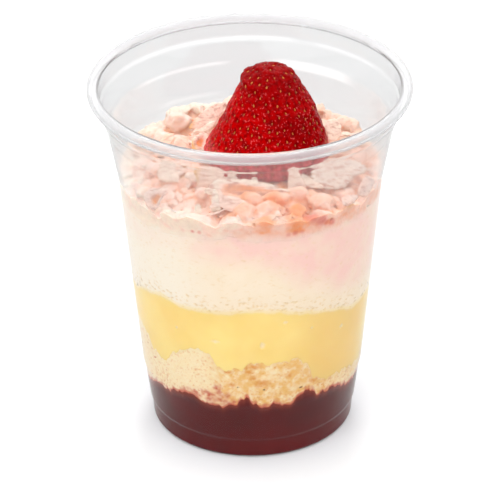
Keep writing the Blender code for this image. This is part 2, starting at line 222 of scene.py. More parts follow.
# Camera at the photograph's place, in millimetres from the middle of the base
view = {
    "target": (0.0, 0.0, 55.0),
    "distance": 1093.975,
    "elevation": 29.3805,
    "roll": 0.5211,
    "lens": 256.16,
    "sensor": 36.0,
    "pictureSize": 500.0,
    "targetInPicture": (251.261, 252.383),
}


def addCamera():
    tilt = math.radians(view["elevation"])
    back = Vector((0, -math.cos(tilt), math.sin(tilt)))
    data = bpy.data.cameras.new("camera")
    data.lens = view["lens"]
    data.sensor_width = view["sensor"]
    data.sensor_fit = "HORIZONTAL"
    half = view["pictureSize"] / 2
    data.shift_x = (half - view["targetInPicture"][0]) / view["pictureSize"]
    data.shift_y = (view["targetInPicture"][1] - half) / view["pictureSize"]
    data.clip_start = 0.05
    camera = bpy.data.objects.new("camera", data)
    bpy.context.scene.collection.objects.link(camera)
    where = (Vector(view["target"]) + back * view["distance"]) * mm
    camera.matrix_world = (Matrix.Translation(where)
                           @ Matrix.Rotation(math.pi / 2 - tilt, 4, "X")
                           @ Matrix.Rotation(math.radians(-view["roll"]), 4, "Z"))
    bpy.context.scene.camera = camera


# Studio: pale floor, and a white room that is brighter at the upper left and dim in reflections
studio = {
    "floorSize": 12.0,               # metres
    "floorDrop": 0.05,
    "floorColour": (0.64, 0.64, 0.64, 1.0),
    "floorSeen": (0.85, 0.862, 0.88, 1.0),   # the camera sees it a little paler
    "roomColour": (1.0, 1.0, 1.0, 1.0),
    "roomLow": 1.04,                 # brightness away from the light side
    "roomHigh": 1.62,                # brightness at the light side
    "lightSide": (-0.32, -0.6, 0.72),
    "reflectedLow": 0.8,             # how bright the room looks in gloss, at its foot and above
    "reflectedHigh": 2.4,
    "lampAim": (0.0, 0.0, 0.06),
    # lamps: name, place and size in metres, watts
    "lamps": (("keyLamp", (-0.7, -0.65, 1.0), 0.05, 0.7),
              ("backLamp", (0.05, 0.55, 1.0), 0.3, 3.4),
              ("sideLamp", (0.75, -0.6, 0.7), 0.05, 0.5),
              ("frontLamp", (0.1, -0.9, 0.6), 0.05, 0.3)),
}


def addRoom():
    room = bpy.data.worlds.new("room")
    room.use_nodes = True
    tree = room.node_tree
    direction = addNode(tree, "TexCoord").outputs["Generated"]
    side = Vector(studio["lightSide"]).normalized()
    facing = addNode(tree, "VectorMath", {0: direction, 1: side}, operation="DOT_PRODUCT").outputs["Value"]
    lit = addNode(tree, "MapRange", {"Value": facing, "From Min": -0.2, "From Max": 1.0,
                                     "To Min": studio["roomLow"], "To Max": studio["roomHigh"]})
    path = addNode(tree, "LightPath").outputs
    mirrored = maths(tree, "MULTIPLY", path["Is Glossy Ray"], path["Is Reflection Ray"])
    up = addNode(tree, "SeparateXYZ", {0: direction}).outputs["Z"]
    band = addNode(tree, "MapRange", {"Value": up, "From Min": 0.08, "From Max": 0.4,
                                      "To Min": studio["reflectedLow"], "To Max": studio["reflectedHigh"]})
    strength = addNode(tree, "Mix", {0: mirrored, 2: lit.outputs[0], 3: band.outputs[0]}).outputs[0]
    seen = addNode(tree, "Mix", {0: path["Is Camera Ray"], 2: strength, 3: 1.0}).outputs[0]
    background = tree.nodes["Background"]
    background.inputs["Color"].default_value = studio["roomColour"]
    tree.links.new(seen, background.inputs["Strength"])
    bpy.context.scene.world = room


def addStudio():
    scene = bpy.context.scene
    scene.view_settings.view_transform = "Standard"
    scene.view_settings.look = "None"
    addRoom()
    for name, where, size, watts in studio["lamps"]:
        data = bpy.data.lights.new(name, "AREA")
        data.shape = "SQUARE"
        data.size = size
        data.energy = watts
        lamp = bpy.data.objects.new(name, data)
        scene.collection.objects.link(lamp)
        lamp.location = where
        aim = Vector(studio["lampAim"]) - Vector(where)
        lamp.rotation_euler = aim.to_track_quat("-Z", "Y").to_euler()
    material, tree, shader = newMaterial("paleFloor", {"Roughness": 0.9, "Specular IOR Level": 0.1})
    grain = between(tree, cloud(tree, 4.0), 0.3, 0.7)
    seen = addCoats(tree, studio["floorSeen"], ((grain, 0.01, studio["floorColour"]),))
    cameraPath = addNode(tree, "LightPath").outputs["Is Camera Ray"]
    tree.links.new(blendColours(tree, cameraPath, studio["floorColour"], seen), shader.inputs["Base Color"])
    half = studio["floorSize"] / 2 / mm
    low = -studio["floorDrop"]
    corners = [(-half, -half, low), (half, -half, low), (half, half, low), (-half, half, low)]
    makePiece("floor", corners, [(0, 1, 2, 3)], material)


# Cup: thin pressed sheet with stacking ledges and a rolled rim
cup = {
    "height": 114.0,
    "rimRadius": 49.0,
    "roll": 1.8,
    "wall": 0.7,
    "floor": 0.9,
    "baseRadius": 31.1,
    "baseRound": 1.6,
    # each ledge: height and outer radius at its foot, then at its head
    "ledges": ((6.4, 31.5, 7.4, 32.0), (18.1, 33.4, 20.4, 34.0), (83.7, 40.2, 88.5, 41.1),
               (98.1, 42.9, 100.3, 43.3), (105.6, 45.1, 107.0, 45.8)),
    "cornerRound": 0.45,
    "around": 256,
    "plastic": {"Roughness": 0.08, "IOR": 1.4, "Transmission Weight": 1.0},
    "hazy": {"Roughness": 0.08, "IOR": 1.4, "Transmission Weight": 0.965},      # above the food
    "hazyFrom": 87.5,
    "clear": (0.97, 0.97, 0.97, 1.0),          # tint where food touches the sheet
    "shadedAbove": (0.78, 0.785, 0.79, 1.0),        # and a darker tint above the food, as painted shade
    "shadedFrom": 80.0, "shadedTo": 88.0,
    "rolled": {"Base Color": (0.78, 0.78, 0.785, 1.0), "Roughness": 0.1, "IOR": 1.2,
               "Transmission Weight": 0.78},
    # painted highlights, bright arcs on the ledges behind: height from, to, x from, to, and strength
    "shines": ((105.9, 107.0, -42.0, 14.0, 0.6), (98.8, 99.7, -34.0, -7.0, 0.8),
               (97.6, 100.3, 7.0, 31.0, 1.0), (105.9, 106.8, 20.0, 41.0, 0.5),
               (89.4, 90.4, -28.0, -9.0, 0.35)),
    "lampTint": (0.97, 0.97, 0.97, 1.0),
}


def wallKnots():
    knots = [(cup["baseRadius"], cup["baseRound"])]
    for lowZ, lowR, highZ, highR in cup["ledges"]:
        knots += [(lowR, lowZ), (highR, highZ)]
    return knots + [(cup["rimRadius"] - 2 * cup["roll"] + cup["wall"], cup["height"] - cup["roll"])]


wallTable = wallKnots()


def outerRadius(z):
    if z <= cup["baseRound"]:
        drop = (cup["baseRound"] - max(z, 0.0)) / cup["baseRound"]
        return cup["baseRadius"] - cup["baseRound"] * (1 - math.sqrt(1 - drop * drop))
    for (r0, z0), (r1, z1) in zip(wallTable, wallTable[1:]):
        if z <= z1:
            return mix(r0, r1, (z - z0) / (z1 - z0))
    return wallTable[-1][0]


def innerRadius(z):
    return outerRadius(z) - cup["wall"]


def arc(centreR, centreZ, radius, start, end, count):
    points = []
    for k in range(count + 1):
        angle = math.radians(mix(start, end, k / count))
        points.append((centreR + radius * math.cos(angle), centreZ + radius * math.sin(angle)))
    return points


def roundCorners(path, reach, count=4):
    # each corner becomes a short curve that starts reach before it
    rounded = [path[0]]
    for before, corner, after in zip(path, path[1:], path[2:]):
        a, b, c = Vector(before), Vector(corner), Vector(after)
        start = b + (a - b) * min(reach / (a - b).length, 0.45)
        end = b + (c - b) * min(reach / (c - b).length, 0.45)
        for k in range(count + 1):
            t = k / count
            rounded.append(tuple(start * (1 - t) ** 2 + b * 2 * t * (1 - t) + end * t * t))
    return rounded + [path[-1]]


def cupOutline():
    rollR, rollZ = cup["rimRadius"] - cup["roll"], cup["height"] - cup["roll"]
    baseR = cup["baseRadius"] - cup["baseRound"]
    outside = roundCorners(wallTable, cup["cornerRound"])
    outline = [(baseR * share, 0.0) for share in (0.02, 0.5)]
    outline += arc(baseR, cup["baseRound"], cup["baseRound"], -90, 0, 8)[:-1]
    outline += outside[:-1]
    outline += arc(rollR, rollZ, cup["roll"] - cup["wall"], 180, -90, 18)
    outline += arc(rollR, rollZ, cup["roll"], -90, 180, 26)
    outline += [(r - cup["wall"], z) for r, z in reversed(outside[:-1])]
    outline += arc(baseR, cup["baseRound"], cup["baseRound"] - cup["wall"], 0, -90, 6)[1:]
    outline += [(baseR * share, cup["floor"] - 0.2 * (1 - share)) for share in (0.5, 0.02)]
    return outline


def plasticMaterial(name, settings):
    # the sheet is clear to lamps too, so what it holds is lit as through a thin wall
    material, tree, shader = newMaterial(name, settings)
    where = placeAxes(tree)
    up = where["Z"]
    # painted shade: the sheet is tinted darker above the food
    shadedAbove = between(tree, up, cup["shadedFrom"] * mm, cup["shadedTo"] * mm)
    colour = blendColours(tree, shadedAbove, cup["clear"], cup["shadedAbove"])
    behind = between(tree, where["Y"], 2 * mm, 8 * mm)
    # painted highlights: the tint is cleared along bright arcs on the ledges behind
    for low, high, left, right, strength in cup["shines"]:
        across = maths(tree, "MULTIPLY", between(tree, where["X"], (left - 2) * mm, (left + 3) * mm),
                       between(tree, where["X"], (right + 2) * mm, (right - 3) * mm))
        along = maths(tree, "MULTIPLY", between(tree, up, (low - 0.4) * mm, (low + 0.4) * mm),
                      between(tree, up, (high + 0.5) * mm, (high - 0.3) * mm))
        shine = maths(tree, "MULTIPLY", maths(tree, "MULTIPLY", across, along), behind)
        colour = blendColours(tree, maths(tree, "MULTIPLY", shine, strength), colour, cup["clear"])
    tree.links.new(colour, shader.inputs["Base Color"])
    drawn = cloud(tree, 12.0, 2.0, (1.0, 1.0, 0.12))
    belowRim = between(tree, up, (cup["height"] - 6) * mm, (cup["height"] - 12) * mm)
    addRelief(tree, shader, maths(tree, "MULTIPLY", drawn, belowRim), 0.1, 0.08)
    passLamps(tree, shader)
    return material


def rolledMaterial():
    # the rolled rim looks whiter than the wall, as light is caught in it
    material, tree, shader = newMaterial("rolledPlastic", cup["rolled"])
    addRelief(tree, shader, cloud(tree, 14.0, 1.0), 0.05, 0.2)
    passLamps(tree, shader)
    return material


def passLamps(tree, shader):
    lampPath = addNode(tree, "LightPath").outputs["Is Shadow Ray"]
    passing = addNode(tree, "BsdfTransparent", {"Color": cup["lampTint"]})
    mixed = addNode(tree, "MixShader", {0: lampPath, 1: shader.outputs[0], 2: passing.outputs[0]})
    tree.links.new(mixed.outputs[0], tree.nodes["Material Output"].inputs["Surface"])


def makeCup():
    rings = [circle(r, z, cup["around"]) for r, z in cupOutline()]
    points, faces = joinRings(rings)
    piece = makePiece("clearCup", points, faces, plasticMaterial("clearPlastic", cup["plastic"]))
    piece.data.materials.append(plasticMaterial("hazyPlastic", cup["hazy"]))
    piece.data.materials.append(rolledMaterial())
    rollFrom = (cup["height"] - 2 * cup["roll"] + 0.3) * mm
    for face in piece.data.polygons:
        face.material_index = int(face.center.z > cup["hazyFrom"] * mm) + int(face.center.z > rollFrom)
    settle(piece, "clear_plastic", "clear_cup")


# What all the layers share
filling = {
    "around": 720,
    "reach": 0.16,                   # they reach this far into the wall, so that no gap shows
    "tuck": 0.5, "tuckIn": 0.4,      # how far each goes down behind the layer below, and in from the wall
    "lowest": 0.75,                  # height under which nothing goes down
    "inRings": (0.98, 0.9, 0.7, 0.35),   # shares of the radius where a layer's faces have rings
    "sharpFrom": 60,                 # edges are shaded sharp from this angle on
    "meanRadius": 34,                # turns azimuth into width on the wall
    "fineSize": 1.5,                 # width of the finer teeth on the edges between layers
}


def ringAzimuth(k):
    return 360.0 * k / filling["around"]


def onWall(degrees, z, depth=0.0, share=1.0):
    r = (innerRadius(z) + filling["reach"] - depth) * share
    angle = math.radians(degrees)
    return (r * math.cos(angle), r * math.sin(angle), z)


def raggedEdge(layer, seed):
    # the edge's named heights, made ragged by teeth of a height and a width, and by finer ones
    points, teeth, size, fineTeeth = (layer[key] for key in ("topEdge", "teeth", "teethSize", "fineTeeth"))
    heights = []
    for k in range(filling["around"]):
        degrees = ringAzimuth(k)
        x, y, _ = onWall(degrees, 0.0)
        uneven = bumps((x + 31 * seed, y, 7.0 * seed), size, 4)
        fine = bumps((x + 31 * seed, y, 9.0 * seed), filling["fineSize"], 4)
        heights.append(edgeHeight(points, degrees) + teeth * uneven + fineTeeth * fine)
    return heights


def faceRings(edge, shares):
    middle = sum(edge) / len(edge)
    rings = []
    for share in shares:
        rings.append([])
        for k, height in enumerate(edge):
            x, y, z = onWall(ringAzimuth(k), height, 0.0, share)
            rings[-1].append((x, y, mix(middle, height, share ** 1.5)))
    return rings


def spotShare(spots, degrees, z, core=0.45):
    # how far a point on the wall lies inside one of the named spots, 0 to 1; core is the full part of each
    most = 0.0
    for spotDegrees, spotZ, wide, high in spots:
        across = signedAngle(degrees - spotDegrees) * math.radians(filling["meanRadius"])
        away = math.hypot(across / wide, (z - spotZ) / high)
        if away < 1.6:
            away += 0.35 * bumps((across + spotDegrees, z, spotZ), min(wide, high) * 0.7)
            most = max(most, 1 - smoothStep((away - core) / (1 - core)))
    return most


def layerPiece(name, slot, low, high, rows, look, material):
    # look gives the depth below the wall and the painted channels at a point; slot is the node's name too
    rings = list(reversed(faceRings(low, filling["inRings"])))
    rings.append([onWall(ringAzimuth(k), max(height - filling["tuck"], filling["lowest"]), filling["tuckIn"])
                  for k, height in enumerate(low)])
    painted = {}
    blank = len(rings) * filling["around"]
    for row in range(rows + 1):
        ring = []
        for k in range(filling["around"]):
            degrees = ringAzimuth(k)
            z = mix(low[k], high[k], row / rows)
            depth, channels = look(degrees, z, low[k], high[k])
            ring.append(onWall(degrees, z, depth))
            for key, value in channels.items():
                painted.setdefault(key, [0.0] * blank).append(value)
        rings.append(ring)
    rings += faceRings(high, filling["inRings"])
    points, faces = joinRings(rings)
    for values in painted.values():
        values += [0.0] * (len(points) - len(values))
    piece = makePiece(name, points, faces, material, painted)
    piece.data.set_sharp_from_angle(angle=math.radians(filling["sharpFrom"]))
    settle(piece, slot, slot)


# Berry jelly. A layer's top edge is given by azimuths and heights on the wall
jelly = {
    "topEdge": ((-175, 14), (-165, 15.5), (-150, 18.2), (-140, 19.0), (-131, 20.8), (-123, 21.6),
                (-115, 19.2), (-108, 19.2), (-99, 20.3), (-93.4, 23.2), (-88, 20.6), (-84.7, 19.0),
                (-78.6, 20.7), (-70, 19.2), (-66, 22), (-59, 23.6), (-54, 20.5), (-42, 20.3), (-28, 17),
                (40, 19), (110, 20)),
    "teeth": 0.8, "teethSize": 2.2, "fineTeeth": 1.0,
    "surface": {"Roughness": 0.4, "Specular IOR Level": 0.05, "Subsurface Weight": 0.1,
                "Subsurface Radius": (1.0, 0.15, 0.1), "Subsurface Scale": 0.002},
    "dark": shade(86, 6, 12), "red": shade(106, 12, 16),
    "speck": shade(150, 80, 76), "speckGap": 3.4,
    "stained": shade(150, 62, 46), "fringe": 2.8,      # the paler edge under the sponge, and its height
    "rows": 40,
}


def jellyLook(degrees, z, low, high):
    return 0.0, {"height": z / high, "edge": 1 - smoothStep((high - z) / jelly["fringe"])}


def jellyMaterial():
    material, tree, shader = newMaterial("berryJelly", jelly["surface"])
    patches = between(tree, cloud(tree, 11.0, 2.0), 0.35, 0.65)
    low = maths(tree, "SUBTRACT", 1.0, between(tree, channel(tree, "height"), 0.15, 0.6))
    redder = maths(tree, "MULTIPLY", maths(tree, "ADD", patches, low), 0.5)
    scale = 1 / (jelly["speckGap"] * mm)
    cells = addNode(tree, "TexVoronoi", {"Vector": place(tree), "Scale": scale}).outputs
    chance = addNode(tree, "SeparateColor", {0: cells["Color"]}).outputs[0]
    specks = maths(tree, "MULTIPLY", between(tree, cells["Distance"], 0.11, 0.07),
                   between(tree, chance, 0.6, 0.7))
    colour = addCoats(tree, blendColours(tree, redder, jelly["dark"], jelly["red"]),
                      ((specks, 0.5, jelly["speck"]), ("edge", 0.6, jelly["stained"])))
    tree.links.new(colour, shader.inputs["Base Color"])
    addRelief(tree, shader, cloud(tree, 2.5), 0.12, 0.4)
    return material


# Sponge: moist cake crumb
sponge = {
    "topEdge": ((-175, 38.5), (-163, 37.5), (-155, 35.5), (-149, 32), (-141, 29.8), (-133, 34.6),
                (-126, 37.6), (-117, 39.4), (-112, 38.5), (-107, 34.3), (-103, 33.0), (-96, 34.3),
                (-91, 36.2), (-84, 35.7), (-72, 35.7), (-69, 36.8), (-63, 33.9), (-56.5, 27.5), (-50, 25),
                (-37, 25), (-20, 23.5), (20, 28), (80, 35), (140, 34)),
    "teeth": 0.8, "teethSize": 2.4, "fineTeeth": 0.9,
    "surface": {"Roughness": 0.7, "Specular IOR Level": 0.05, "Subsurface Weight": 0.15,
                "Subsurface Radius": (1.0, 0.6, 0.3), "Subsurface Scale": 0.0012},
    # azimuth, height, width and height of what stands out in the crumb
    "browned": ((-85.5, 28.7, 3.4, 2.2), (-57.5, 26.6, 2.6, 1.6), (-89.6, 35.0, 3.6, 1.4),
                (-92, 33.2, 2.0, 1.4), (-100.5, 28.1, 1.8, 1.4), (-89.7, 30.8, 1.6, 1.4),
                (-71.5, 30.5, 1.8, 1.2), (-102.3, 32.7, 2.2, 0.9)),
    "burnt": ((-84.1, 26.4, 0.42, 0.42), (-97.5, 27.3, 0.4, 0.25), (-64.6, 25.2, 0.8, 0.4)),
    "soaked": ((-119, 22.8, 5.5, 2.6), (-112, 22.4, 5.0, 3.6), (-106, 22.0, 5.0, 3.4),
               (-108, 25.8, 2.4, 3.2), (-100, 21.5, 3.0, 2.0)),
    "pale": shade(254, 236, 200), "crumb": shade(246, 210, 142), "yellow": shade(238, 184, 96),
    "brown": shade(226, 150, 66), "burn": shade(116, 64, 36), "juice": shade(206, 94, 72),
    "poreDepth": 0.3, "poreSize": 0.8, "rows": 80,
}


def spongeLook(degrees, z, low, high):
    x, y, _ = onWall(degrees, z)
    turned = signedAngle(degrees)
    pores = bumps((x, y, z), sponge["poreSize"], 3)
    soft = bumps((x, y, z + 20), 1.8, 2)
    holes = max(pores - 0.24 + 0.3 * bumps((x, y, z + 40), 6.0, 1), 0.0)
    clods = min(max(0.8 + 1.3 * bumps((x, y, z + 90), 2.2, 4), 0.0), 1.3)
    rim = smoothStep((z - low) / 1.0) * smoothStep((high - z) / 1.0)
    soaked = spotShare(sponge["soaked"], degrees, z, 0.0) * min(max(0.7 + 1.2 * soft, 0.2), 1.0)
    # the crumb is palest at the left, yellowest in front, and pale again at the back
    yellow = smoothStep((turned + 116) / 16) * (1 - 0.6 * smoothStep((turned + 56) / 16))
    return sponge["poreDepth"] * holes * rim, {
        "pore": min(holes * 2.0, 1.0),
        "brown": spotShare(sponge["browned"], degrees, z, 0.0),
        "burn": spotShare(sponge["burnt"], degrees, z, 0.4),
        "juice": max(soaked, 1 - smoothStep((z - low) / (1.8 + 2 * soft))),
        "yellow": clods * yellow * (1 - smoothStep((turned - 110) / 60)),
    }


def spongeMaterial():
    material, tree, shader = newMaterial("spongeCrumb", sponge["surface"])
    grains = between(tree, cloud(tree, 1.0, 5.0), 0.38, 0.7)
    deeper = maths(tree, "ADD", maths(tree, "MULTIPLY", channel(tree, "yellow"), 0.5), 0.3)
    colour = addCoats(tree, sponge["pale"],
                      ((grains, deeper, sponge["crumb"]), ("yellow", 0.55, sponge["yellow"]),
                       ("pore", 0.5, sponge["brown"]), ("brown", 0.85, sponge["brown"]),
                       ("burn", 1.0, sponge["burn"]), ("juice", 0.95, sponge["juice"])))
    tree.links.new(colour, shader.inputs["Base Color"])
    addRelief(tree, shader, cloud(tree, 0.7, 4.0), 0.25, 0.6)
    return material


# Custard
custard = {
    "topEdge": ((-163, 50), (-148, 52.8), (-137, 54.8), (-126, 53.6), (-108, 54.1), (-90, 55.3),
                (-79, 54.7), (-64, 52.7), (-55, 51), (-46, 49.6), (-33, 47), (10, 47.5), (90, 53)),
    "teeth": 0.45, "teethSize": 3.2, "fineTeeth": 0.15,
    "surface": {"Roughness": 0.5, "Specular IOR Level": 0.05, "Subsurface Weight": 0.3,
                "Subsurface Radius": (1.0, 0.6, 0.2), "Subsurface Scale": 0.003},
    # azimuth, height, width and height of bubbles against the wall
    "bubbles": ((-85, 42.9, 1.0, 1.3), (-108, 43.6, 1.6, 0.7), (-74, 50.6, 1.0, 0.5),
                (-41, 42.4, 0.8, 0.8), (-129, 45.0, 0.6, 0.6), (-60, 46.5, 0.5, 0.6)),
    "bubbleDepth": 0.35,
    "light": shade(254, 228, 150), "deep": shade(250, 218, 136), "shaded": shade(240, 202, 126),
    "rows": 40,
}


def custardLook(degrees, z, low, high):
    bubble = spotShare(custard["bubbles"], degrees, z)
    turned = signedAngle(degrees)
    return custard["bubbleDepth"] * bubble, {
        "bubble": bubble,
        "seam": 1 - smoothStep((high - z) / 0.8),
        # painted shade: the right side takes the shaded colour
        "right": smoothStep((turned + 80) / 30) * (1 - smoothStep((turned + 30) / 20)),
    }


def custardMaterial():
    material, tree, shader = newMaterial("custardCream", custard["surface"])
    swirls = between(tree, cloud(tree, 14.0, 2.0), 0.3, 0.7)
    # the right side is painted in the shaded colour, as painted shade
    colour = addCoats(tree, blendColours(tree, swirls, custard["light"], custard["deep"]),
                      (("right", 0.6, custard["shaded"]), ("bubble", 0.4, vanilla["ivory"]),
                       ("seam", 0.35, vanilla["ivory"])))
    tree.links.new(colour, shader.inputs["Base Color"])
    addRelief(tree, shader, cloud(tree, 3.0), 0.1, 0.3)
    return material


# Vanilla cream and strawberry cream, with a soft change of colour between them
vanilla = {
    "topEdge": ((-160, 71), (-118, 74), (-88, 73), (-62, 63.5), (-40, 57.5), (-5, 54.5), (90, 66)),
    "teeth": 0.5, "teethSize": 5.0, "fineTeeth": 0.1,
    "softEdge": 5.5,                 # half the height over which it turns pink
    "surface": {"Roughness": 0.6, "Specular IOR Level": 0.05},
    "ivory": shade(255, 240, 218), "mottle": shade(250, 228, 196), "pale": shade(255, 248, 234),
    "pore": shade(238, 206, 150), "pink": shade(255, 217, 207), "juice": shade(222, 104, 92),
    "poreDepth": 0.5, "poreSize": 1.3,
    "poreBand": 9.0,                 # most pores lie within this of the custard
    "rows": 72,
}
pinkCream = {
    "topEdge": ((-155, 80.5), (-90, 82.6), (-20, 81.0), (90, 84.0)),
    "teeth": 0.7, "teethSize": 3.5, "fineTeeth": 0.3, "rows": 64,
    # azimuth, height, width and height of juice streaks under the shavings
    "streaks": ((-115, 82.0, 4.0, 0.5), (-72, 82.6, 5.0, 0.8), (-52, 82.0, 2.0, 0.9)),
}


def pinkStrength(degrees, x, y, z):
    # the cream is palest at the left and pinkest at the front
    turned = signedAngle(degrees)
    strong = (0.24 + 0.6 * smoothStep((turned + 128) / 34) - 0.35 * smoothStep((turned - 110) / 60)
              - 0.25 * smoothStep((turned + 42) / 24))
    return min(max(strong + 0.35 * bumps((x, y, z), 5.0, 2) * (0.3 + strong), 0.0), 1.0)


def creamLook(degrees, z, low, high):
    x, y, _ = onWall(degrees, z)
    turned = signedAngle(degrees)
    change = edgeHeight(vanilla["topEdge"], degrees) + 1.5 * bumps((x, y, z), 9.0, 2)
    overCustard = z - edgeHeight(custard["topEdge"], degrees)
    nearCustard = 1 - smoothStep(overCustard / vanilla["poreBand"])
    pores = max(bumps((x, y, z * 1.5), vanilla["poreSize"], 3) - 0.32 + 0.16 * nearCustard, 0.0)
    fade = 0.35 + 0.65 * nearCustard
    rim = smoothStep((z - low) / 0.6) * smoothStep((high - z) / 0.6)
    pink = smoothStep(0.5 + (z - change) / (2 * vanilla["softEdge"])) * pinkStrength(degrees, x, y, z)
    return vanilla["poreDepth"] * pores * fade * rim, {
        "pore": min(pores * 3.0 * fade, 1.0),
        "pink": pink,
        "seam": 1 - smoothStep(overCustard / 1.6),
        "juice": spotShare(pinkCream["streaks"], degrees, z),
        "pale": (1 - smoothStep((turned + 134) / 34)) * smoothStep((turned + 180) / 15),
    }


def creamMaterial():
    material, tree, shader = newMaterial("whippedCream", vanilla["surface"])
    mottle = between(tree, cloud(tree, 5.0, 4.0), 0.3, 0.7)
    colour = addCoats(tree, vanilla["ivory"],
                      ((mottle, 0.3, vanilla["mottle"]), ("pale", 0.7, vanilla["pale"]),
                       ("pink", 1.0, vanilla["pink"]), ("pore", 0.6, vanilla["pore"]),
                       ("seam", 0.5, custard["light"]), ("juice", 0.7, vanilla["juice"])))
    tree.links.new(colour, shader.inputs["Base Color"])
    addRelief(tree, shader, cloud(tree, 0.9, 4.0), 0.12, 0.4)
    return material


def makeLayers():
    kinds = (("berryJelly", "berry_jelly", jelly, jellyLook, jellyMaterial),
             ("spongeCake", "sponge", sponge, spongeLook, spongeMaterial),
             ("custardCream", "custard", custard, custardLook, custardMaterial),
             ("vanillaCream", "vanilla_cream", vanilla, creamLook, creamMaterial),
             ("strawberryCream", "strawberry_cream", pinkCream, creamLook, creamMaterial))
    low = [cup["floor"] - filling["reach"]] * filling["around"]
    for seed, (name, slot, layer, look, makeMaterial) in enumerate(kinds, 1):
        high = raggedEdge(layer, seed)
        layerPiece(name, slot, low, high, layer["rows"], look, makeMaterial())
        low = high


# Strawberry: cut flat at the stalk end, tip up
berry = {
    "x": 5.6, "y": 3.0, "base": 87.1, "height": 30.2, "radius": 18.9,
    "bulge": 1.4,                    # how far its middle leans to +X
    "foot": 0.09, "cap": 0.87,       # shares of its height where the foot ends and the tip starts
    "around": 320, "rows": 130,
    # height share and millimetres that the outline gains at its left and at its right
    "leftTrim": ((0.0, 0.8), (0.12, 1.3), (0.3, 0.5), (0.457, 0.2), (0.526, 0.4), (0.596, 0.1), (0.7, 0.0),
                 (0.805, -0.6), (0.874, 0.3), (0.944, -0.6), (1.0, 0.4)),
    "rightTrim": ((0.0, -0.9), (0.18, -1.4), (0.457, -1.6), (0.596, -0.7), (0.666, -1.1), (0.76, -1.1),
                  (0.83, -0.8), (0.874, -1.2), (0.944, 0.4), (1.0, 1.6)),
    "seedGap": 2.3, "seedTries": 6000, "seedLength": 1.1, "seedWidth": 0.55, "seedThick": 0.42,
    "dimple": 0.5, "dimpleRadius": 0.85, "cushion": 0.34,
    "flesh": {"Roughness": 0.07, "Specular IOR Level": 0.014, "Subsurface Weight": 0.12,
              "Subsurface Radius": (1.0, 0.05, 0.04), "Subsurface Scale": 0.002},
    # besides the flesh's own reds, colours for painted shade on the top and in the dimples, painted light on
    # the foot, and painted glints
    "bright": shade(188, 2, 6), "deep": shade(138, 0, 8), "tip": shade(136, 0, 8),
    "paintedLightFoot": shade(226, 100, 98), "hollow": shade(104, 2, 8), "paintedGlint": shade(228, 96, 100),
    "seed": {"Roughness": 0.4, "Specular IOR Level": 0.2},
    "seedLight": shade(182, 106, 46), "seedDark": shade(120, 44, 22),
}


def berryShare(up):
    share = 1 - 0.72 * max(up - berry["foot"], 0.0) ** 1.2
    if up < berry["foot"]:
        share *= 0.86 + 0.14 * math.sqrt(1 - ((berry["foot"] - up) / berry["foot"]) ** 2)
    if up > berry["cap"]:
        share *= math.sqrt(max(1 - ((up - berry["cap"]) / (1 - berry["cap"])) ** 2, 0.0))
    return share


def trimAt(table, up):
    for (low, a), (high, b) in zip(table, table[1:]):
        if up <= high:
            return mix(a, b, smoothStep((up - low) / (high - low)))
    return table[-1][1]


def berryPoint(azimuth, up):
    uneven = 1 + 0.012 * math.cos(3 * azimuth + 1.0) + 0.01 * math.cos(5 * azimuth)
    r = berry["radius"] * berryShare(up) * uneven
    aside = math.cos(azimuth)
    trim = trimAt(berry["rightTrim" if aside > 0 else "leftTrim"], up)
    r = max(r + abs(aside) * trim * min(r / 6, 1.0), 0.02)
    x = berry["x"] + berry["bulge"] * math.sin(math.pi * up) + r * aside
    return Vector((x, berry["y"] + r * math.sin(azimuth), berry["base"] + berry["height"] * up))


def berryNormal(azimuth, up):
    step = 0.004
    low, high = max(up - step, 0.0), min(up + step, 0.999)
    along = berryPoint(azimuth, high) - berryPoint(azimuth, low)
    across = berryPoint(azimuth + step, up) - berryPoint(azimuth - step, up)
    return across.cross(along).normalized()


def berryLevels():
    # heights spaced evenly along the outline, with a finer tip
    fine = [k / 2000 for k in range(2001)]
    reach = [0.0]
    for a, b in zip(fine, fine[1:]):
        step = math.hypot(berry["height"] * (b - a), berry["radius"] * (berryShare(b) - berryShare(a)))
        reach.append(reach[-1] + step)
    levels, index = [], 0
    for row in range(berry["rows"] + 1):
        goal = reach[-1] * row / berry["rows"] * 0.999
        while reach[index + 1] < goal:
            index += 1
        levels.append(fine[index])
    return levels


def berrySeeds(levels, rng):
    # seeds strewn unevenly, none nearer to another than the gap
    seeds, spots = [], []
    for _ in range(berry["seedTries"]):
        up = levels[int(rng.uniform(0.04, 0.97) * berry["rows"])]
        azimuth = rng.uniform(0, math.tau)
        if rng.random() > berryShare(up):
            continue
        spot = berryPoint(azimuth, up)
        if all((spot - other).length > berry["seedGap"] for other in spots):
            seeds.append((azimuth, up))
            spots.append(spot)
    return seeds


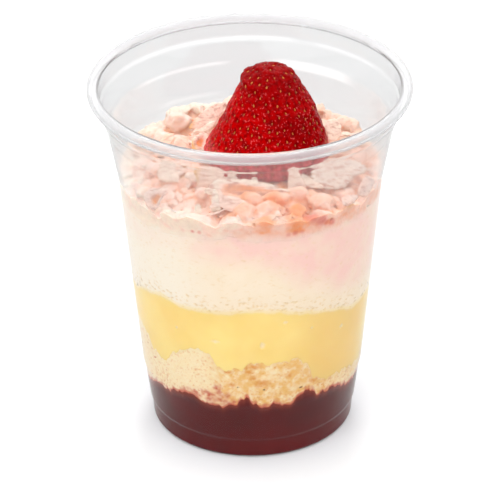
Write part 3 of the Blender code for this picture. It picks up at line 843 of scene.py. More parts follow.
def fleshMaterial():
    material, tree, shader = newMaterial("strawberryFlesh", berry["flesh"])
    where = placeAxes(tree)
    # painted shade: the right side is painted deeper red, on top of random deep patches
    side = between(tree, where["X"], (berry["x"] - 6) * mm, (berry["x"] + 12) * mm)
    # painted shade: the top, which faces the light, is painted darker
    shadedTop = between(tree, where["Z"], (berry["base"] + 21) * mm, (berry["base"] + 28) * mm)
    # painted light: the foot is painted paler, for its lifted shade and the plastic's pale reflection over
    # it
    foot = between(tree, where["Z"], (berry["base"] + 7.5) * mm, (berry["base"] + 4.5) * mm)
    patches = between(tree, cloud(tree, 9.0, 3.0), 0.35, 0.65)
    shadeAndPatches = maths(tree, "MULTIPLY", maths(tree, "ADD", patches, side), 0.55)
    mottled = between(tree, cloud(tree, 1.3, 2.0), 0.5, 0.38)
    # painted glints: small pale marks standing in for highlights
    paintedGlints = between(tree, cloud(tree, 0.7, 2.0), 0.61, 0.67)
    # painted glints, fainter at the top
    glintStrength = maths(tree, "SUBTRACT", 0.46, maths(tree, "MULTIPLY", shadedTop, 0.3))
    # painted shade: the hollow channel darkens the dimples round the seeds; the mottles in the same colour
    # are random
    colour = addCoats(tree, blendColours(tree, shadeAndPatches, berry["bright"], berry["deep"]),
                      ((shadedTop, 1.0, berry["tip"]), (foot, 0.8, berry["paintedLightFoot"]),
                       (mottled, 0.6, berry["hollow"]), ("hollow", 0.6, berry["hollow"]),
                       (paintedGlints, glintStrength, berry["paintedGlint"])))
    tree.links.new(colour, shader.inputs["Base Color"])
    addRelief(tree, shader, cloud(tree, 1.0, 2.0), 0.4, 0.8)
    return material


def seedMaterial():
    material, tree, shader = newMaterial("strawberrySeed", berry["seed"])
    tree.links.new(steps(tree, between(tree, cloud(tree, 2.4, 2.0), 0.35, 0.65),
                         ((0.0, berry["seedDark"]), (0.6, berry["seedLight"]), (1.0, berry["seedLight"]))),
                   shader.inputs["Base Color"])
    addRelief(tree, shader, cloud(tree, 0.25), 0.05, 0.5)
    return material


def makeStrawberry():
    rng = random.Random(31)
    levels = berryLevels()
    seeds = berrySeeds(levels, rng)
    tree = kdtree.KDTree(len(seeds))
    for index, (azimuth, up) in enumerate(seeds):
        tree.insert(berryPoint(azimuth, up), index)
    tree.balance()
    rings, hollows = [], []
    for up in levels:
        ring = []
        for k in range(berry["around"]):
            azimuth = math.tau * k / berry["around"]
            point = berryPoint(azimuth, up)
            away = tree.find(point)[2]
            swell = 0.15 * bumps(point, 6.0, 2)
            swell += berry["cushion"] * bumps(point, 2.0, 2) * min(away / 1.5, 1.0)
            sunk = math.exp(-(away / berry["dimpleRadius"]) ** 2)
            # how deep each point sits in a dimple, which the flesh darkens as painted shade
            hollows.append(sunk)
            ring.append(point + berryNormal(azimuth, up) * (swell + 0.15 - berry["dimple"] * sunk))
        rings.append(ring)
    points, faces = joinRings(rings)
    piece = makePiece("strawberryFruit", points, faces, fleshMaterial(), {"hollow": hollows + [0.0, 0.0]})
    settle(piece, "strawberry", "strawberry")
    seedPoints, seedFaces = [], []
    for azimuth, up in seeds:
        normal = berryNormal(azimuth, up)
        centre = berryPoint(azimuth, up) + normal * (0.24 - berry["dimple"])
        along = berryPoint(azimuth, min(up + 0.02, 0.999)) - berryPoint(azimuth, max(up - 0.02, 0))
        along = (Matrix.Rotation(rng.uniform(-0.35, 0.35), 3, normal) @ along).normalized()
        across = normal.cross(along).normalized()
        addSeed(seedPoints, seedFaces, centre, along, across, normal, rng.uniform(0.85, 1.1))
    settle(makePiece("strawberrySeeds", seedPoints, seedFaces, seedMaterial()), "strawberry")


def addSeed(points, faces, centre, along, across, normal, size, sides=8, rows=5):
    # teardrop, its pointed end towards the fruit's tip
    first = len(points)
    along = along * berry["seedLength"] * size
    across = across * berry["seedWidth"] * size
    normal = normal * berry["seedThick"] * size
    for row in range(1, rows):
        t = row / rows
        swell = math.sin(math.pi * t) * (1.15 - 0.45 * t) / 2
        for k in range(sides):
            angle = math.tau * k / sides
            points.append(centre + along * (t - 0.5)
                          + (across * math.cos(angle) + normal * math.sin(angle)) * swell)
    ends = [len(points), len(points) + 1]
    points += [centre - along / 2, centre + along / 2]
    for row in range(rows - 2):
        for k in range(sides):
            n = (k + 1) % sides
            a, b = first + row * sides, first + (row + 1) * sides
            faces.append((a + k, a + n, b + n, b + k))
    for k in range(sides):
        n = (k + 1) % sides
        faces.append((first + k, ends[0], first + n))
        last = first + (rows - 2) * sides
        faces.append((last + n, ends[1], last + k))


# Heap of soft crumble: pink, peach and orange lumps melted together
heap = {
    # height in the middle, broad lumps on it, and heights at the wall
    "middle": 87.0, "lumps": 30, "lumpHeight": 2.2, "lumpRadius": 5.0, "lumpSpread": 37.0,
    "rim": ((-155, 82.5), (-90, 84.6), (-25, 83.2), (90, 86.0)),
    "sunk": 0.9,                     # how far the core lies below the heap's height
    "chunks": 300, "chunkSize": (3.6, 8.0), "chunkSpread": 38.5,
    "wallChunks": 210, "wallChunkSize": (3.0, 6.8),
    "voxel": 0.45,                   # the lumps are melted together at this size
    "paleLeft": -0.14,               # how much paler its left is
    "contact": 3.0,                  # what comes this near to the plastic is pressed flatter
    "edgeDrop": 2.4,                 # how far it reaches down over the strawberry cream at the wall
    "edgeUneven": 0.9, "tuck": 0.22,     # how uneven that edge is, and how far it is drawn in
    "grain": 0.24, "grainSize": 1.2,
    "surface": {"Roughness": 0.55, "Specular IOR Level": 0.06, "Subsurface Weight": 0.8,
                "Subsurface Radius": (1.0, 0.75, 0.6), "Subsurface Scale": 0.0014},
    # dusk is the grey of painted shade and of random streaks
    "ivory": shade(248, 233, 214), "blush": shade(251, 215, 200), "peach": shade(245, 187, 158),
    "orange": shade(243, 157, 102), "dusk": shade(220, 198, 184), "line": shade(200, 150, 134),
    "rose": shade(216, 110, 98), "tan": shade(222, 168, 96),
    # x, y, z and radius of the places that are more orange, of the rosy ones and of the tan ones
    "orangeSpots": ((-32.2, -17.0, 88, 4.0), (-24.9, -25.3, 88, 3.4), (-20.3, -31.5, 88, 3.0),
                    (-23.8, -15.9, 88, 2.0), (-14.5, -17.3, 88, 2.6), (-8.0, -35.5, 88, 4.0),
                    (-1.0, -24.0, 88, 3.4), (6.0, -25.0, 88, 3.0), (8.0, -28.5, 88, 3.6),
                    (-0.3, -36.2, 88, 3.0), (3.5, -38.0, 87, 4.0), (13.9, -32.2, 88, 4.4),
                    (13.0, -36.5, 85, 3.4), (24.7, -23.7, 88, 3.0), (29.7, -17.5, 88, 3.6),
                    (9.7, -16.5, 88, 3.0), (-14.2, 18.5, 87, 3.6), (-20.0, 15.0, 87, 3.0),
                    (20.0, 24.0, 87, 4.0), (31.0, -2.2, 88, 3.0)),
    "rosySpots": ((17.7, -34.7, 87, 3.2), (20.2, -33.5, 85, 2.6), (23.3, -31.5, 83.1, 1.7),
                  (22.0, -32.6, 83.8, 1.4), (10.8, -37.7, 82.3, 1.2), (12.8, -37.1, 82.5, 1.3),
                  (14.7, -36.3, 82.5, 1.1), (-17.2, -35.6, 82.5, 0.8), (-15.2, -36.5, 82.5, 0.8),
                  (-33.0, -18.5, 86, 2.0), (5.0, 30.0, 86, 4.0)),
    "tanSpots": ((-20.3, -8.5, 88, 4.2), (29.0, -26.8, 87, 2.6), (32.6, 0.5, 88, 3.4), (28.0, 9.0, 88, 2.5)),
    # how strongly hollows, spots, the crease at the wall and the left wall change the tint; what hollows and
    # the crease add is painted shade, and raised parts come out paler as painted light
    "hollowTint": 0.17, "hollowTintBehind": 0.5, "hollowDepth": 0.35,
    "spotTint": 0.34, "creaseTint": 0.12, "leftWallTint": -0.32,
}
# lumps that show: size, place and tint
namedLumps = (
    ((7.6, 7.2, 6.6), (-22.4, 23.6, 88.2), 0.62), ((7.4, 5.4, 4.7), (-29.5, 19.0, 86.2), 0.4),
    ((8.0, 7.0, 5.0), (21.1, -25.5, 86.6), 0.5), ((5.4, 5.0, 4.4), (13.6, -31.6, 86.4), 0.95),
    ((7.2, 6.0, 4.6), (5.1, -29.5, 86.4), 0.6), ((6.6, 6.0, 5.0), (6.2, -36.6, 85.2), 0.72),
    ((6.4, 6.0, 4.6), (-1.7, -30.6, 86.4), 0.66), ((5.0, 4.4, 4.0), (-6.4, -36.2, 85.6), 0.9),
    ((9.4, 7.0, 5.0), (-16.5, -34.6, 84.8), 0.3), ((5.0, 4.4, 4.0), (-31.0, -18.5, 86.6), 0.85),
    ((7.0, 5.0, 4.4), (-28.0, -5.0, 87.0), 0.45), ((7.4, 6.4, 4.4), (-9.0, -21.0, 86.8), 0.55),
    ((6.0, 5.6, 4.6), (-27.0, 13.5, 87.6), 0.5), ((8.5, 4.2, 3.6), (-8.0, -24.8, 87.6), 0.55),
    ((8.5, 4.2, 3.8), (0.0, -25.2, 87.7), 0.5), ((8.0, 4.2, 3.8), (7.4, -24.6, 87.6), 0.55),
    ((7.0, 4.6, 4.4), (14.0, -22.6, 87.8), 0.5), ((5.0, 4.6, 4.0), (-14.0, -20.5, 87.2), 0.5),
)


def placement(x, y, z, turn=0.0, lean=0.0, roll=0.0):
    return (Matrix.Translation(Vector((x, y, z)))
            @ Matrix.Rotation(math.radians(turn), 4, "Z")
            @ Matrix.Rotation(math.radians(lean), 4, "X")
            @ Matrix.Rotation(math.radians(roll), 4, "Y"))


def moved(points, pose):
    matrix = placement(*pose)
    return [matrix @ Vector(point) for point in points]


def overFlake(x, y, flake, margin):
    # whether a point lies over or under a flake, and the height of its plane there
    pose = placement(*flake["pose"])
    slope = pose.to_3x3() @ Vector((0, 0, 1))
    origin = pose.translation
    planeZ = origin.z - ((x - origin.x) * slope.x + (y - origin.y) * slope.y) / slope.z
    spot = pose.inverted() @ Vector((x, y, planeZ))
    inside = abs(spot.x) < flake["size"][0] / 2 + margin and abs(spot.y) < flake["size"][1] / 2 + margin
    return inside, planeZ


def makeLumps():
    rng = random.Random(11)
    lumps = []
    for k in range(heap["lumps"]):
        r = heap["lumpSpread"] * math.sqrt((k + 0.5) / heap["lumps"])
        angle = k * goldenAngle
        lumps.append((r * math.cos(angle), r * math.sin(angle), heap["lumpHeight"] * rng.uniform(0.4, 1.0)))
    return lumps


lumps = makeLumps()


def heapHeight(x, y):
    # height of the heap, dished under the strawberry and the two flakes
    rim = edgeHeight(heap["rim"], azimuthOf(x, y))
    share = min(math.hypot(x, y) / innerRadius(rim), 1.0)
    z = mix(heap["middle"], rim, share ** 3)
    z += 1.6 * bumps((x, y, 4.0), 5.0, 2) * smoothStep((share - 0.75) / 0.25)
    fade = 1 - smoothStep((share - 0.8) / 0.2) * 0.6
    for lumpX, lumpY, height in lumps:
        near = math.hypot(x - lumpX, y - lumpY) / heap["lumpRadius"]
        if near < 1:
            z += height * (1 - near * near) ** 2 * fade
    away = math.hypot(x - berry["x"], y - berry["y"]) - berry["radius"]
    z = min(z, berry["base"] - 0.3 + max(away - 1.5, 0.0) * 2)
    for flake in (wideFlake, longShaving):
        inside, planeZ = overFlake(x, y, flake, 3.5)
        if inside:
            z = min(z, max(planeZ - 2.0, rim - 1.0))
    return z


def crumbleMaterial(name, surface, lined=0.0):
    # tint goes from ivory 0 through pink and peach to orange 1; lined says how strong the fine lines are
    material, tree, shader = newMaterial(name, surface)
    streaky = between(tree, cloud(tree, 2.6, 4.0), 0.3, 0.7)
    tint = maths(tree, "ADD", channel(tree, "tint"), maths(tree, "MULTIPLY", streaky, 0.14))
    stops = ((0.0, heap["ivory"]), (0.35, heap["blush"]), (0.68, heap["peach"]), (1.0, heap["orange"]))
    scratched = between(tree, cloud(tree, 1.6, 4.0, (0.35, 1.6, 1.0)), 0.45, 0.7)
    lines = between(tree, cloud(tree, 0.75, 2.0, (0.22, 1.3, 1.0)), 0.5, 0.66)
    cream = blendColours(tree, channel(tree, "pink"), vanilla["ivory"], vanilla["pink"])
    # the dusk channel is painted shade, greyer at the back, in the crease at the wall and on the flakes that
    # stand behind the plastic; the scratched streaks of the same grey are random
    colour = addCoats(tree, steps(tree, tint, stops),
                      ((scratched, 0.25, heap["dusk"]), ("dusk", 1.0, heap["dusk"]),
                       (lines, lined, heap["line"]), ("tan", 1.0, heap["tan"]),
                       ("rosy", 1.0, heap["rose"]), ("creamy", 1.0, cream)))
    tree.links.new(colour, shader.inputs["Base Color"])
    addRelief(tree, shader, cloud(tree, 1.3, 5.0), 0.5, 0.9)
    return material


def blobMesh(size, rng, rings=14, sides=20):
    # rounded uneven lump
    shift = randomShift(rng)
    grid = []
    for row in range(rings):
        polar = math.pi * (row + 0.5) / rings
        ring = []
        for k in range(sides):
            angle = math.tau * k / sides
            way = Vector((math.sin(polar) * math.cos(angle), math.sin(polar) * math.sin(angle),
                          -math.cos(polar)))
            r = 0.5 * (1 + 0.3 * bumps(way * 2 + shift, 1.6, 3))
            ring.append(Vector((way.x * size[0], way.y * size[1], way.z * size[2])) * r)
        grid.append(ring)
    return joinRings(grid)


def pressed(point, reach=0.1):
    # a point past the wall is pushed back against the plastic
    r = math.hypot(point.x, point.y)
    most = innerRadius(point.z) + reach
    if r > most:
        return Vector((point.x * most / r, point.y * most / r, point.z))
    return point


def besideBerry(point):
    # a point inside the strawberry is pushed out of it
    up = (point.z - berry["base"]) / berry["height"]
    middleX = berry["x"] + berry["bulge"] * math.sin(math.pi * min(max(up, 0.0), 1.0))
    across, along = point.x - middleX, point.y - berry["y"]
    r = math.hypot(across, along)
    least = berry["radius"] * berryShare(min(max(up, 0.0), 0.99)) + 0.5
    if up > 1 or r > least:
        return point
    return Vector((middleX + across * least / r, berry["y"] + along * least / r, point.z))


class Gathered:
    # many small closed meshes gathered into one piece, with painted channels
    def __init__(self, *channels):
        self.points, self.faces = [], []
        self.channels = {channel: [] for channel in channels}

    def add(self, points, faces, **paint):
        first = len(self.points)
        self.points += points
        self.faces += [tuple(first + index for index in face) for face in faces]
        for name, values in self.channels.items():
            given = paint.get(name, 0.0)
            values += given if isinstance(given, list) else [given] * len(points)


def chunkPlaces(rng):
    # size, pose and tint of each lump: all over the heap, and along the wall
    places = []
    small, large = heap["chunkSize"]
    for k in range(heap["chunks"]):
        r = heap["chunkSpread"] * math.sqrt((k + 0.5) / heap["chunks"])
        angle = k * goldenAngle + rng.uniform(-0.1, 0.1)
        x, y = r * math.cos(angle), r * math.sin(angle)
        long = mix(small, large, rng.random() ** 1.6)
        z = heapHeight(x, y) - heap["sunk"] - 0.1 * long + rng.uniform(-0.3, 0.5)
        pose = (x, y, z, rng.uniform(0, 360), rng.uniform(-30, 30))
        size = (long, long * rng.uniform(0.65, 1.0), long * rng.uniform(0.5, 0.75))
        places.append((size, pose, rng.uniform(0.3, 0.75)))
    small, large = heap["wallChunkSize"]
    for k in range(heap["wallChunks"]):
        degrees = 360 * (k + rng.uniform(-0.4, 0.4)) / heap["wallChunks"]
        long = rng.uniform(small, large)
        low, high = edgeHeight(pinkCream["topEdge"], degrees), edgeHeight(heap["rim"], degrees)
        z = rng.uniform(low - 0.6, high + 1.8)
        x, y, _ = onWall(degrees, z, 0.3 * long)
        pose = (x, y, z, degrees + rng.uniform(-20, 20), rng.uniform(-20, 20))
        size = (long * 0.8, long, long * rng.uniform(0.5, 0.75))
        places.append((size, pose, rng.uniform(0.3, 0.7)))
    return places + [(size, (*where, 0.0, 0.0), tint) for size, where, tint in namedLumps]


def melt(piece, voxel):
    # one skin round all the overlapping lumps
    remesh = piece.modifiers.new("melt", "REMESH")
    remesh.mode = "VOXEL"
    remesh.voxel_size = voxel * mm
    relax = piece.modifiers.new("relax", "SMOOTH")
    relax.factor = 0.5
    relax.iterations = 4
    depsgraph = bpy.context.evaluated_depsgraph_get()
    mesh = bpy.data.meshes.new_from_object(piece.evaluated_get(depsgraph))
    piece.modifiers.clear()
    piece.data = mesh
    return mesh


def cavities(mesh, rounds):
    # how far each point lies below its smoothed surroundings, in millimetres
    count = len(mesh.vertices)
    spots = numpy.empty(count * 3)
    normals = numpy.empty(count * 3)
    ends = numpy.empty(len(mesh.edges) * 2, dtype=int)
    mesh.vertices.foreach_get("co", spots)
    mesh.vertices.foreach_get("normal", normals)
    mesh.edges.foreach_get("vertices", ends)
    spots, normals, ends = spots.reshape(-1, 3) / mm, normals.reshape(-1, 3), ends.reshape(-1, 2)
    neighbours = numpy.bincount(ends.ravel(), minlength=count)[:, None]
    soft = spots.copy()
    for _ in range(rounds):
        total = numpy.zeros_like(soft)
        for axis in range(3):
            total[:, axis] = (numpy.bincount(ends[:, 0], soft[ends[:, 1], axis], count)
                              + numpy.bincount(ends[:, 1], soft[ends[:, 0], axis], count))
        soft = total / numpy.maximum(neighbours, 1)
    return ((soft - spots) * normals).sum(1)


def nearSpot(point, spots):
    most = 0.0
    for x, y, z, radius in spots:
        away = math.dist(point, (x, y, z)) / radius
        if away < 1.5:
            away += 0.25 * bumps(point, 2.5, 2)
            most = max(most, 1 - smoothStep((away - 0.3) / 0.8))
    return most


def againstWall(point):
    # what lies close to the plastic touches it, down to an uneven edge over the strawberry cream;
    # gives the point, how creamy it is there, and how far it lies in the crease where the wall is left
    r = math.hypot(point.x, point.y)
    low = edgeHeight(pinkCream["topEdge"], azimuthOf(point.x, point.y))
    edge = low - heap["edgeDrop"] + heap["edgeUneven"] * bumps(point, 3.0, 2)
    most = innerRadius(point.z) + filling["reach"] + 0.03
    depth = most - r
    contact = heap["contact"] * (1 + 1.6 * bumps((point.x, point.y, point.z + 50), 4.0, 2))
    crease = smoothStep(depth / 0.6) * (1 - smoothStep((depth - 1.2) / 1.6))
    crease *= smoothStep((point.z - edge - 1.5) / 1.5)
    if depth < contact:
        depth = max(depth - 0.8, 0.0) * mix(0.3, 1.0, smoothStep(depth / contact))
        depth += heap["tuck"] * (1 - smoothStep((point.z - edge) / 1.6 + 0.5))
        point = Vector((point.x * (most - depth) / r, point.y * (most - depth) / r, point.z))
    return point, 0.92 * (1 - smoothStep((point.z - edge - 0.7) / 2.8)), crease


def coreRings(around, rows=40):
    # the core under the lumps: its underside, its side and its top
    low = [edgeHeight(pinkCream["topEdge"], 360 * k / around) for k in range(around)]
    rings = []
    for share, drop in ((0.3, 3.2), (0.7, 3.2), (1.0, 3.2), (1.0, 0.0)):
        rings.append([onWall(360 * k / around, low[k] - drop, 0.65, share) for k in range(around)])
    for row in range(1, rows):
        share = (1 - row / rows) ** 0.8
        ring = []
        for k in range(around):
            degrees = 360 * k / around
            rim = edgeHeight(heap["rim"], degrees) - heap["sunk"]
            x, y, _ = onWall(degrees, rim, 0.65, share)
            ring.append((x, y, min(heapHeight(x, y) - heap["sunk"], rim + (1 - share) * 40)))
        rings.append(ring)
    return rings


def skinPaint(point, tint, hollow, creamy, crease):
    # painted channels at a point of the heap's skin; tint comes from the lumps that are near it
    behind = smoothStep((point.y - 2) / 8)
    leftWall = smoothStep((math.hypot(point.x, point.y) - 33) / 4) * smoothStep((6 - point.x) / 10)
    # painted shade: hollows are painted more orange, most at the back, and raised parts paler as painted
    # light
    depth = min(hollow / heap["hollowDepth"], 1.0)
    tint += heap["hollowTint"] * (1 - creamy) * max(depth, -0.5)
    tint += heap["hollowTintBehind"] * behind * max(depth, 0.0)
    tint += heap["spotTint"] * nearSpot(point, heap["orangeSpots"])
    tint += mix(heap["paleLeft"], 0.06, smoothStep((point.x + 20) / 12))
    # painted shade: the crease at the wall is painted more orange; the left wall is paler
    tint += heap["creaseTint"] * crease + heap["leftWallTint"] * leftWall
    return {
        "tint": min(max(tint, 0.0), 1.0),
        "rosy": 0.65 * nearSpot(point, heap["rosySpots"]),
        "tan": 0.55 * nearSpot(point, heap["tanSpots"]),
        "creamy": creamy,
        # painted shade: greyer at the back and in the crease
        "dusk": max(0.6 * behind, 0.15 * crease),
        "pink": pinkStrength(azimuthOf(point.x, point.y), *point),
    }


def makeHeap():
    rng = random.Random(23)
    mass = Gathered()
    mass.add(*joinRings(coreRings(180)))
    places = chunkPlaces(rng)
    tints = kdtree.KDTree(len(places))
    for index, (size, pose, _) in enumerate(places):
        points, faces = blobMesh(size, rng)
        mass.add(moved(points, pose), faces)
        tints.insert(pose[:3], index)
    tints.balance()
    material = crumbleMaterial("softCrumble", heap["surface"])
    piece = makePiece("crumbleHeap", mass.points, mass.faces, material)
    mesh = melt(piece, heap["voxel"])
    hollows = cavities(mesh, 14)
    skin = [(vertex.co / mm, vertex.normal.copy()) for vertex in mesh.vertices]
    placed, painted = [], {}
    for (point, normal), hollow in zip(skin, hollows):
        point = point + normal * heap["grain"] * bumps(point, heap["grainSize"], 3)
        point, creamy, crease = againstWall(point)
        placed.extend(point * mm)
        near = [(places[index][2], 1 / (away * away + 0.3)) for _, index, away in tints.find_n(point, 3)]
        tint = sum(own * weight for own, weight in near) / sum(weight for _, weight in near)
        for key, value in skinPaint(point, tint, hollow, creamy, crease).items():
            painted.setdefault(key, []).append(value)
    mesh.vertices.foreach_set("co", placed)
    for name, values in painted.items():
        mesh.attributes.new(name, "FLOAT", "POINT").data.foreach_set("value", values)
    mesh.shade_smooth()
    settle(piece, "shavings", "shavings_heap")


# What all the flakes share
flakeLook = {
    "thick": 0.6, "curve": 0.05, "ragged": 0.09,
    "surface": {"Roughness": 0.5, "Specular IOR Level": 0.08, "Subsurface Weight": 0.3,
                "Subsurface Radius": (1.0, 0.8, 0.7), "Subsurface Scale": 0.0004},
}


def softOutline(corners, parts):
    # closed curve near the corners, half way between a polygon and a smooth line
    points = []
    count = len(corners)
    for k in range(count):
        a, b, c, d = (Vector(corners[(k + step) % count]) for step in (-1, 0, 1, 2))
        for i in range(parts):
            t = i / parts
            curved = (b * 2 + (c - a) * t + (a * 2 - b * 5 + c * 4 - d) * t ** 2
                      + (b * 3 - a - c * 3 + d) * t ** 3) / 2
            points.append((b + (c - b) * t).lerp(curved, 0.6))
    return points


def flakeMesh(outline, thick, curve, rng, parts=6, dish=0.0):
    # thin flake with an uneven outline, a rounded rim and a slight curl; also how far out each point is
    shift = randomShift(rng)
    curlWay = Vector((math.cos(rng.uniform(-0.7, 0.7)), math.sin(rng.uniform(-0.7, 0.7))))
    border = softOutline(outline, parts)
    if sum(a.cross(b) for a, b in zip(border, border[1:] + border[:1])) < 0:
        border.reverse()
    rings, outness = [], []
    shares = (0.25, 0.5, 0.75, 0.9, 0.98)
    below, above = [(share, -1) for share in shares], [(share, 1) for share in reversed(shares)]
    for share, side in below + [(1.0, 0)] + above:
        ring = []
        for corner in border:
            spot = corner * share * (1 + flakeLook["ragged"] * share * bumps((*corner, shift.x), 1.2, 3))
            lift = 0.5 * curve * spot.dot(curlWay) ** 2 + 0.25 * bumps((*(spot + shift.xy), shift.z), 2.5, 2)
            lift -= dish * (1 - smoothStep(share / 0.7))
            half = 0.5 * thick * math.sqrt(1 - min(share, 0.999) ** 5)
            ring.append(Vector((spot.x, spot.y, lift + side * half)))
        rings.append(ring)
        outness += [share] * len(ring)
    points, faces = joinRings(rings)
    return points, faces, outness + [0.0, 0.0]


# Shavings: small flakes that show, each with its outline, its pose and the tint of its face
smallFlakes = {
    "ringFlake": (((-4.3, 0.7), (-3.3, 2.2), (-0.8, 3.5), (2.4, 4.0), (3.0, 3.3), (2.0, 0.6), (1.4, -2.1),
                   (-0.3, -3.8), (-2.1, -3.7), (-3.5, -1.6)), (-27.8, -26.2, 88.2, -35, 62), 0.24),
    "paleFlake": (((-3.2, 2.2), (-1.5, 3.3), (0.7, 3.3), (1.8, 2.2), (2.4, 0.1), (3.6, -1.6), (3.2, -2.9),
                   (1.1, -3.4), (-1.0, -3.4), (-3.1, -2.4), (-3.1, -0.2)),
                  (-24.4, -12.0, 90.2, -15, 52), 0.04),
    "paleBit": (((-4.0, 0.8), (-0.2, 1.9), (4.1, 1.4), (3.9, -0.5), (1.0, -1.6), (-2.0, -2.0), (-4.2, -0.8)),
                (-15.1, -13.2, 89.2, -5, 40), 0.08),
    "pointedFlake": (((-2.5, 3.5), (-1.5, 1.9), (2.3, 1.0), (5.7, -1.3), (3.5, -2.1), (1.3, -3.4),
                      (-1.0, -2.9), (-2.7, -1.6), (-5.1, -2.0), (-6.0, -1.6), (-3.7, 0.9)),
                     (-6.6, -27.5, 88.3, 8, 50), 0.2),
    "chipA": (((-1.3, -3.2), (-1.1, 0.6), (-0.2, 3.2), (0.8, 2.6), (1.0, -0.4), (1.4, -3.0)),
              (-10.4, -28.0, 88.8, 6, 62), 0.0),
    "chipB": (((-1.0, -1.4), (-0.8, 0.9), (0.1, 1.4), (1.0, 0.4), (0.9, -1.5)),
              (-15.6, -30.6, 87.6, 8, 58), 0.0),
    "footLeft": (((-4.5, 0.2), (-1.5, 1.4), (1.8, 1.4), (4.7, 0.2), (3.8, -4.1), (-2.9, -4.4)),
                 (-12.2, -15.6, 91.9, -12, 66), 0.14),
    "footMiddle": (((-6.0, 0.6), (-2.4, 2.0), (0.0, 0.4), (5.6, 0.1), (5.8, -3.2), (-5.8, -3.3)),
                   (-4.0, -17.6, 89.6, 4, 70), 0.18),
    "footTip": (((-2.0, -1.2), (-0.2, 1.3), (1.8, -0.4), (1.2, -3.1), (-1.8, -3.0)),
                (-5.8, -16.9, 91.3, 12, 68), 0.1),
    "footRight": (((-2.5, 0.8), (-0.4, 0.9), (0.7, 2.5), (1.7, 1.4), (2.1, -1.0), (-2.1, -1.5)),
                  (0.2, -18.4, 89.2, -8, 66), 0.15),
    "upright": (((-2.0, 1.0), (-1.6, 3.0), (-0.4, 3.9), (1.1, 3.2), (1.7, 1.4), (2.6, -0.8), (3.4, -3.4),
                 (0.4, -4.3), (-2.2, -3.6), (-2.2, -1.2)), (13.2, -18.3, 90.2, 4, 64), 0.12),
    "underWide": (((-3.7, 1.7), (-1.3, 1.3), (3.9, -0.6), (3.7, -1.7), (-0.5, -1.9), (-3.6, -0.6)),
                  (18.2, -16.9, 88.8, -25, 40), 0.05),
    "wallFlake": (((1.8, 2.8), (3.3, 0.8), (1.0, -2.3), (-1.7, -2.8), (-3.5, -1.6), (-2.0, 0.5),
                   (-0.4, 1.9)),
                  (33.8, -18.6, 88.0, 35, 60), 0.4),
    "ivoryBit": (((-2.3, 1.6), (0.6, 1.9), (3.3, 0.5), (2.3, -1.5), (-0.7, -1.8), (-3.0, -0.6)),
                 (29.0, -26.8, 87.6, 40, 40), 0.34),
    "backSlice": (((-5.3, -4.5), (-3.8, -1.5), (-1.7, 1.6), (1.5, 4.0), (5.3, 5.1), (4.7, 2.3), (3.3, -0.8),
                   (1.4, -3.5), (-1.2, -3.6), (-3.3, -4.9)), (-12.8, 21.9, 91.0, -20, 62), 0.22),
    "backStrip": (((-3.2, -2.4), (-1.1, -0.3), (1.3, 2.0), (3.2, 2.4), (2.2, 0.0), (-0.3, -1.8)),
                  (-14.0, 16.1, 90.0, -25, 50), 0.05),
    "whiteCurl": (((-3.0, 0.7), (-0.6, 2.4), (2.5, 2.8), (3.9, 1.0), (2.0, -1.1), (-0.3, -3.5),
                   (-3.3, -2.2)),
                  (-15.3, 7.0, 89.6, 35, 45), 0.06),
    "backWhite": (((-2.3, 1.4), (-0.6, 3.3), (1.7, 3.2), (2.8, 0.8), (2.3, -1.6), (0.2, -3.5), (-2.2, -2.7)),
                  (25.3, 12.5, 90.6, 20, 55), 0.08),
    "pinkFlakeA": (((-2.2, -1.4), (-1.2, 2.0), (1.5, 3.0), (2.3, 0.4), (1.1, -2.3), (-0.9, -2.8)),
                   (-25.7, 8.5, 89.4, -30, 40), 0.42),
    "pinkFlakeB": (((-2.1, 1.6), (0.2, 2.4), (2.2, 1.3), (2.3, -1.3), (0.8, -2.7), (-2.1, -1.3)),
                   (-20.8, 5.8, 89.4, 25, 45), 0.36),
    "rightBit": (((-1.0, 2.5), (2.3, 1.8), (3.7, -0.5), (1.0, -2.6), (-2.6, -1.7), (-3.3, 0.7)),
                 (32.6, 0.5, 88.6, 60, 30), 0.45),
}
dished = {"ringFlake": 0.9, "whiteCurl": 0.8}            # flakes with an orange hollow, and its depth
tanEdged = ("backSlice", "whiteCurl", "footLeft")        # flakes with a tan left edge
# painted shade: how grey the flakes that stand high behind the plastic are painted
dusky = {"paleFlake": 0.15, "paleBit": 0.1, "footLeft": 0.2, "footMiddle": 0.3, "footTip": 0.3,
         "footRight": 0.3, "upright": 0.3, "underWide": 0.1}
scattered = {
    "flakes": 150, "length": (2.6, 6.8), "width": (1.8, 4.2), "thick": (0.35, 0.6),
    "curve": (0.0, 0.16), "flakeSpread": 38.0,
    "quietSector": (-160, -20),      # azimuths where few loose flakes lie
    "crumbs": 260, "crumbSize": (0.7, 2.2), "crumbSpread": 39.0,
}


def chipOutline(length, width, rng):
    corners = rng.randint(5, 7)
    outline = []
    for k in range(corners):
        angle = math.tau * (k + rng.uniform(-0.3, 0.3)) / corners
        outline.append((math.cos(angle) * length / 2 * rng.uniform(0.7, 1.1),
                        math.sin(angle) * width / 2 * rng.uniform(0.7, 1.1)))
    return outline


def keepsClear(points):
    # whether a loose flake or crumb stays off the strawberry, the wall and the two named flakes
    for point in points:
        if (besideBerry(point) - point).length > 0.4 or (pressed(point, 2.0) - point).length > 0:
            return False
        if any(overFlake(point.x, point.y, flake, 0.2)[0] for flake in (wideFlake, longShaving)):
            return False
    return True


def sunkTint(points, tint):
    # what lies deeper in the heap takes up its colour
    return [mix(tint, 0.6, 0.6 * smoothStep((heapHeight(p.x, p.y) + 0.2 - p.z) / 1.8)) for p in points]


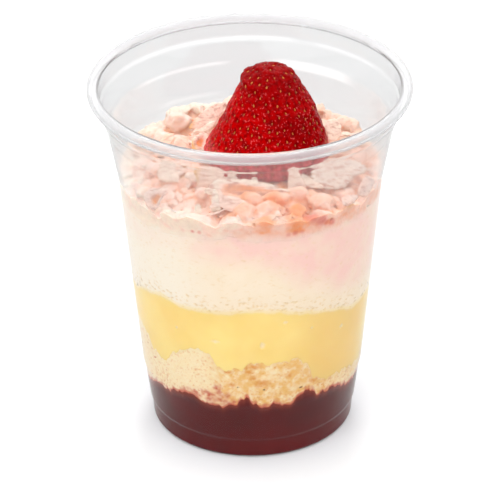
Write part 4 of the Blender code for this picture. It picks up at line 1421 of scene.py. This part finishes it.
def scatterPose(rng, radius, rise):
    r = radius * math.sqrt(rng.random())
    angle = rng.uniform(0, math.tau)
    x, y = r * math.cos(angle), r * math.sin(angle)
    return (x, y, heapHeight(x, y) + rise, rng.uniform(0, 360), rng.uniform(-45, 45), rng.uniform(-25, 25))


def placeSmallFlakes(flakes, rng):
    for name, (outline, pose, tint) in smallFlakes.items():
        flat, faces, outness = flakeMesh(outline, flakeLook["thick"], flakeLook["curve"], rng, 8,
                                         dished.get(name, 0.0))
        points = [besideBerry(pressed(point)) for point in moved(flat, pose)]
        tints = [mix(tint, 0.0, smoothStep((out - 0.5) / 0.4)) for out in outness]
        if name in dished:
            tints = [max(own, 1 - smoothStep((out - 0.3) / 0.35)) for own, out in zip(tints, outness)]
        tints = [max(own, deep) for own, deep in zip(tints, sunkTint(points, tint))]
        left = min(x for x, y in outline)
        tan = [0.8 * (1 - smoothStep((spot.x - left) / 2.2)) if name in tanEdged else 0.0 for spot in flat]
        flakes.add(points, faces, tint=tints, tan=tan, dusk=dusky.get(name, 0.0))


def strewFlakes(flakes, rng):
    start, end = scattered["quietSector"]
    for index in range(scattered["flakes"]):
        length, width, thick = (rng.uniform(*scattered[key]) for key in ("length", "width", "thick"))
        pose = scatterPose(rng, scattered["flakeSpread"], 0.3)
        outline = chipOutline(length, width, rng)
        points, faces, _ = flakeMesh(outline, thick, rng.uniform(*scattered["curve"]), rng)
        points = moved(points, pose)
        quiet = start < azimuthOf(*pose[:2]) < end
        if keepsClear(points) and (not quiet or index % 3 == 0):
            tint = rng.uniform(0.0, 0.45)
            flakes.add([pressed(point) for point in points], faces, tint=sunkTint(points, tint))


def strewCrumbs(crumbs, rng):
    for _ in range(scattered["crumbs"]):
        long = mix(*scattered["crumbSize"], rng.random() ** 2)
        size = (long, long * rng.uniform(0.6, 1.0), long * rng.uniform(0.5, 0.8))
        points, faces = blobMesh(size, rng, 7, 10)
        points = moved(points, scatterPose(rng, scattered["crumbSpread"], 0.1))
        if keepsClear(points):
            crumbs.add([pressed(point) for point in points], faces, tint=rng.uniform(0.2, 0.9))


def makeShavings():
    rng = random.Random(47)
    material = crumbleMaterial("paleShaving", flakeLook["surface"], 0.6)
    flakes, crumbs = Gathered("tint", "tan", "dusk"), Gathered("tint")
    placeSmallFlakes(flakes, rng)
    strewFlakes(flakes, rng)
    settle(makePiece("shavings", flakes.points, flakes.faces, material, flakes.channels), "shavings")
    strewCrumbs(crumbs, rng)
    settle(makePiece("crumbs", crumbs.points, crumbs.faces, material, crumbs.channels), "shavings")


# The large pale flake at the right and the long shaving in front of the strawberry.
# A pose is x, y, z, turn and lean; tint is the face's and rim the one at its rim; dusk greys it as painted
# shade
wideFlake = {
    "outline": ((-10.3, 1.8), (-6.9, 3.9), (-3.8, 5.2), (0.0, 5.1), (4.0, 3.6), (7.0, 0.9), (6.8, -1.5),
                (1.9, -2.8), (-1.2, -5.0), (-4.0, -5.3), (-9.0, -3.8), (-10.6, -1.6)),
    "size": (17.0, 11.0), "thick": 1.0, "curve": 0.02, "pose": (28.0, -11.3, 89.0, 23, 33),
    "tint": 0.16, "rim": 0.05, "dusk": 0.72,
}
longShaving = {
    "outline": ((-12.4, -0.3), (-10.3, 1.6), (-8.1, 2.8), (-1.6, 2.9), (4.9, 1.9), (12.5, -0.8),
                (11.2, -2.1), (4.8, -2.5), (-4.1, -2.6), (-11.2, -1.5)),
    "size": (25.0, 5.0), "thick": 1.1, "curve": 0.022, "pose": (-1.5, -21.6, 89.2, 2, 62),
    "tint": 0.85, "dusk": 0.0,
    "whiteFrom": 1.5,                # above this line its face is white, below it turns paler again
    "whiteSlope": 0.19,              # how fast that line falls to the right
    "whiteEnd": -8.5,                # left of this too
}


def faceTint(flake, spot, out):
    # tint at a spot on a flake's face; out is 1 at its rim
    if "whiteFrom" not in flake:
        return mix(flake["tint"], flake["rim"], smoothStep((out - 0.8) / 0.2))
    above = spot.y - flake["whiteFrom"] + flake["whiteSlope"] * max(spot.x + 1.6, 0.0)
    return (flake["tint"] * (1 - smoothStep((above + 0.3) / 0.6))
            * mix(0.6, 1.0, smoothStep((spot.y + 2.6) / 3))
            * smoothStep((spot.x - flake["whiteEnd"]) / 3))


def makeSingles():
    material = crumbleMaterial("paleFlake", flakeLook["surface"], 1.0)
    for name, flake, node in (("wideFlake", wideFlake, "wide_flake"),
                              ("longShaving", longShaving, "long_shaving")):
        rng = random.Random(len(name))
        flat, faces, outness = flakeMesh(flake["outline"], flake["thick"], flake["curve"], rng, 10)
        paint = {"tint": [faceTint(flake, spot, out) for spot, out in zip(flat, outness)],
                 "dusk": [flake["dusk"]] * len(flat)}
        piece = makePiece(name, moved(flat, flake["pose"]), faces, material, paint)
        settle(piece, "pale_flake", node)


addCamera()
addStudio()
print("camera and studio ready")
makeCup()
makeLayers()
makeStrawberry()
makeHeap()
makeShavings()
makeSingles()
